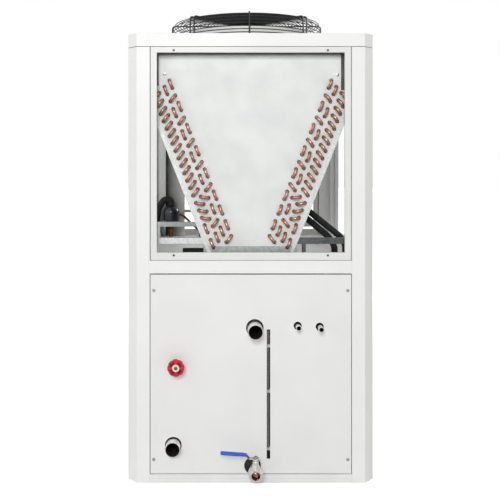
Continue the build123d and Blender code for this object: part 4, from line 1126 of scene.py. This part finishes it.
    def drain_ball(self) -> None:
        """Bores the valve's ball, which is closed, and stands the stem and nut on it."""
        x, y, z = middle = (self.drain_x, self.stem_y, self.drain_z)
        bpy.ops.object.select_all(action="DESELECT")
        bpy.ops.mesh.primitive_uv_sphere_add(
            segments=48, ring_count=24, radius=self.ball_radius * MM, location=mm(*middle)
        )
        ball = bpy.context.object
        reach, radius = 30, self.ball_bore
        bore = turned([(0, -reach), (radius, -reach), (radius, reach), (0, reach)], middle, (1, 0, 0), 40)
        apply_modifier(ball, "BOOLEAN", object=bore, operation="DIFFERENCE", solver="EXACT")
        bpy.data.objects.remove(bore, do_unlink=True)
        settle(ball, "drain_ball", BALL, Body.DRAIN, ["drain_stem"])
        stem = turned([(0, 14.5), (5, 14.5), (5, 65.5), (4.2, 66.8), (0, 66.8)], middle, UP, 24)
        nut = hexagon((x, y, z + 61.8), 8, 5)
        settle(join([stem, nut]), "drain_stem_nut", PLATED, Body.DRAIN)

    def drain_lever(self) -> None:
        """Folds the lever's plate with its dark kink, and slips the rounded blue sleeve over it."""
        back, front = self.lever_back, self.lever_front
        top = [(28, 125.5), (28, 130.5), (-9, 130.5), (-19, 142.5), (-32, 144)]
        underside = [(-32, 139.5), (-21.5, 138), (-11.5, 125.5)]
        plate = slab(top + underside, front + 1, back - 1, upright=True)
        settle(plate, "lever_plate", PLATED, Body.DRAIN, rounding=1.6)
        paint(plate, RUBBER, lambda at: at.x < self.kink_from * MM)
        grip = slab([(-18, 137), (-18, 147.6), (-123, 155.4), (-123, 143.6)], front, back, upright=True)
        round_edges(grip, 5.0, 4)
        settle(grip, "lever_sleeve", VINYL, Body.DRAIN, ["drain_lever"], smooth=60)


@dataclass
class Piping:
    """The refrigerant pipes, the receiver and the cable duct inside the upper bay."""

    deck: float = 899.0
    rear_y: float = 388.3
    front_y: float = -250.0
    receiver_x: float = -383.0
    foam_radius: float = 14.0

    def build(self) -> None:
        """Builds every piece of the piping."""
        self.suction()
        self.receiver()
        self.liquid()
        # The duct's finish carries painted shade down its left side
        soften("cable_duct", DUCT, 1.5)
        soften("duct_brackets", ZINC, 0.8)

    def suction(self) -> None:
        """Bends the foam-clad pipes: two at the right coil, one on the deck, one over the receiver."""
        front, rear, low, radius = self.front_y, self.rear_y, self.deck, self.foam_radius
        upper = [(225, 1098.5), (255.2, 1086.5), (400, 970), (425, 935), (425, low)]
        lower = [(213.3, 1068.9), (243.5, 1056.9), (352, 966), (377, 925), (377, low)]
        over = [(-383, 1062), (-383, 1092), (-420, 1096), (-452, 1050), (-462, 980), (-462, low)]
        runs = [
            ([(x, front, z) for x, z in upper], radius, 14),
            ([(x, front, z) for x, z in lower], radius, 14),
            ([(-193, -325, 913), (-284, -325, 913)], radius, 1),
            ([(x, rear, z) for x, z in over], 17, 14),
        ]
        pieces = [bent_pipe(points, size, bend, 20) for points, size, bend in runs]
        settle(join(pieces), "foam_pipes", FOAM, nodes=["suction_line"], smooth=60)

    def receiver(self) -> None:
        """Turns the receiver: a drum with a domed top and a rolled foot."""
        drum = [(0, 0), (36, 0), (40, 1.5), (42, 5), (42, 34), (41.2, 35), (41.2, 38), (42, 39), (42, 42)]
        dome = [(41.2, 52), (38, 61.5), (33, 69), (26, 75.5), (17, 80), (8, 82.2), (0, 82.6)]
        made = turned(drum + dome, (self.receiver_x, self.rear_y, 980), UP, 56)
        settle(made, "receiver_drum", NAVY, nodes=["refrigerant_receiver"], smooth=50)

    def liquid(self) -> None:
        """Bends the bare liquid pipe and stands the receiver's leg."""
        rear, low = self.rear_y, self.deck
        way = [(-341, 1014), (-326, 1014), (-232, 926), (-232, low)]
        pipe = bent_pipe([(x, rear, z) for x, z in way], 6, 10, 14)
        leg = turned([(0, 0), (14, 0), (14, 78), (13, 81), (0, 81)], (self.receiver_x, rear, low), UP, 28)
        settle(join([pipe, leg]), "liquid_pipe", BROWN_COPPER, nodes=["liquid_line"])


@dataclass
class Studio:
    """A level camera at the photograph's place, a pale floor and soft light; places are in metres."""

    eye: tuple[float, float, float] = (-0.1184, -3.360, 1.303)
    lens: float = 51.05
    shift: Pair = (0.057, -0.18)
    sensor: float = 36.0
    sky: float = 0.36
    aim: tuple[float, float, float] = (0.0, 0.0, 1.0)
    floor_size: float = 60.0
    glow_reach: Pair = (1.0, 3.5)
    glow: Pair = (0.5, 0.95)

    def build(self) -> None:
        """Makes the camera, the floor, the lamps and the world."""
        self.camera()
        self.floor()
        self.lamps()
        self.world()
        bpy.context.scene.view_settings.view_transform = "Standard"

    def camera(self) -> None:
        """Makes the camera, level and looking along +Y."""
        data = bpy.data.cameras.new("camera")
        data.lens = self.lens
        data.sensor_width = self.sensor
        data.shift_x, data.shift_y = self.shift
        made = add_object("camera", data)
        made.location = self.eye
        made.rotation_euler = (math.radians(90), 0, 0)
        bpy.context.scene.camera = made

    def floor(self) -> None:
        """Makes the white floor, which keeps the object's shadow and shines to the camera further out."""
        bpy.ops.object.select_all(action="DESELECT")
        bpy.ops.mesh.primitive_plane_add(size=self.floor_size, location=ORIGIN)
        made = bpy.context.object
        made.name = "floor"
        material = bpy.data.materials.new("studio_floor")
        material.use_nodes = True
        tree = material.node_tree
        shader = tree.nodes["Principled BSDF"]
        shader.inputs["Base Color"].default_value = linear("F2F2F2")
        shader.inputs["Roughness"].default_value = 0.9
        place = add_node(tree, "ShaderNodeTexCoord").outputs["Object"]
        away = add_node(tree, "ShaderNodeVectorMath", {"operation": "LENGTH"}, {0: place}).outputs["Value"]
        span = dict(enumerate((away, *self.glow_reach, *self.glow)))
        level = add_node(tree, "ShaderNodeMapRange", None, span).outputs[0]
        seen = add_node(tree, "ShaderNodeLightPath").outputs["Is Camera Ray"]
        shader.inputs["Emission Color"].default_value = linear("FFFFFF")
        tree.links.new(maths(tree, "MULTIPLY", seen, level), shader.inputs["Emission Strength"])
        made.data.materials.append(material)

    def lamps(self) -> None:
        """Makes the soft boxes: the main one behind the camera, a weak one at the left, two at the back."""
        for name, place, power, size in (
            ("key", (-1.3, -9.6, 5.0), 500, 2.8),
            ("side", (-4.0, -3.6, 2.2), 15, 2.4),
            ("rear_left", (-5.0, 4.3, 3.2), 150, 2.4),
            ("rear_right", (5.0, 4.3, 3.2), 150, 2.4),
        ):
            data = bpy.data.lights.new(name, "AREA")
            data.energy, data.size = power, size
            lamp = add_object(name, data)
            lamp.location = place
            lamp.rotation_euler = (Vector(self.aim) - Vector(place)).to_track_quat("-Z", "Y").to_euler()

    def world(self) -> None:
        """Makes an even sky that the camera and clear reflections see as white."""
        made = bpy.data.worlds.new("studio")
        made.use_nodes = True
        tree = made.node_tree
        back = tree.nodes["Background"]
        back.inputs["Color"].default_value = linear("FFFFFF")
        rays = add_node(tree, "ShaderNodeLightPath")
        seen = rays.outputs["Is Camera Ray"]
        for other in ("Is Transmission Ray", "Is Glossy Ray"):
            seen = maths(tree, "MAXIMUM", seen, rays.outputs[other])
        strength = add_node(tree, "ShaderNodeMapRange", None, {0: seen, 3: self.sky, 4: 1.0})
        tree.links.new(strength.outputs[0], back.inputs["Strength"])
        bpy.context.scene.world = made


def main() -> None:
    """Builds the studio and the chiller."""
    logging.basicConfig(level=logging.INFO, format="%(message)s")
    bpy.ops.object.select_all(action="DESELECT")
    for assembly in (Studio(), Cabinet(), Coils(), Fan(), Plumbing(), Piping()):
        assembly.build()
        LOG.info("%s built", type(assembly).__name__)


if __name__ == "__main__":
    main()
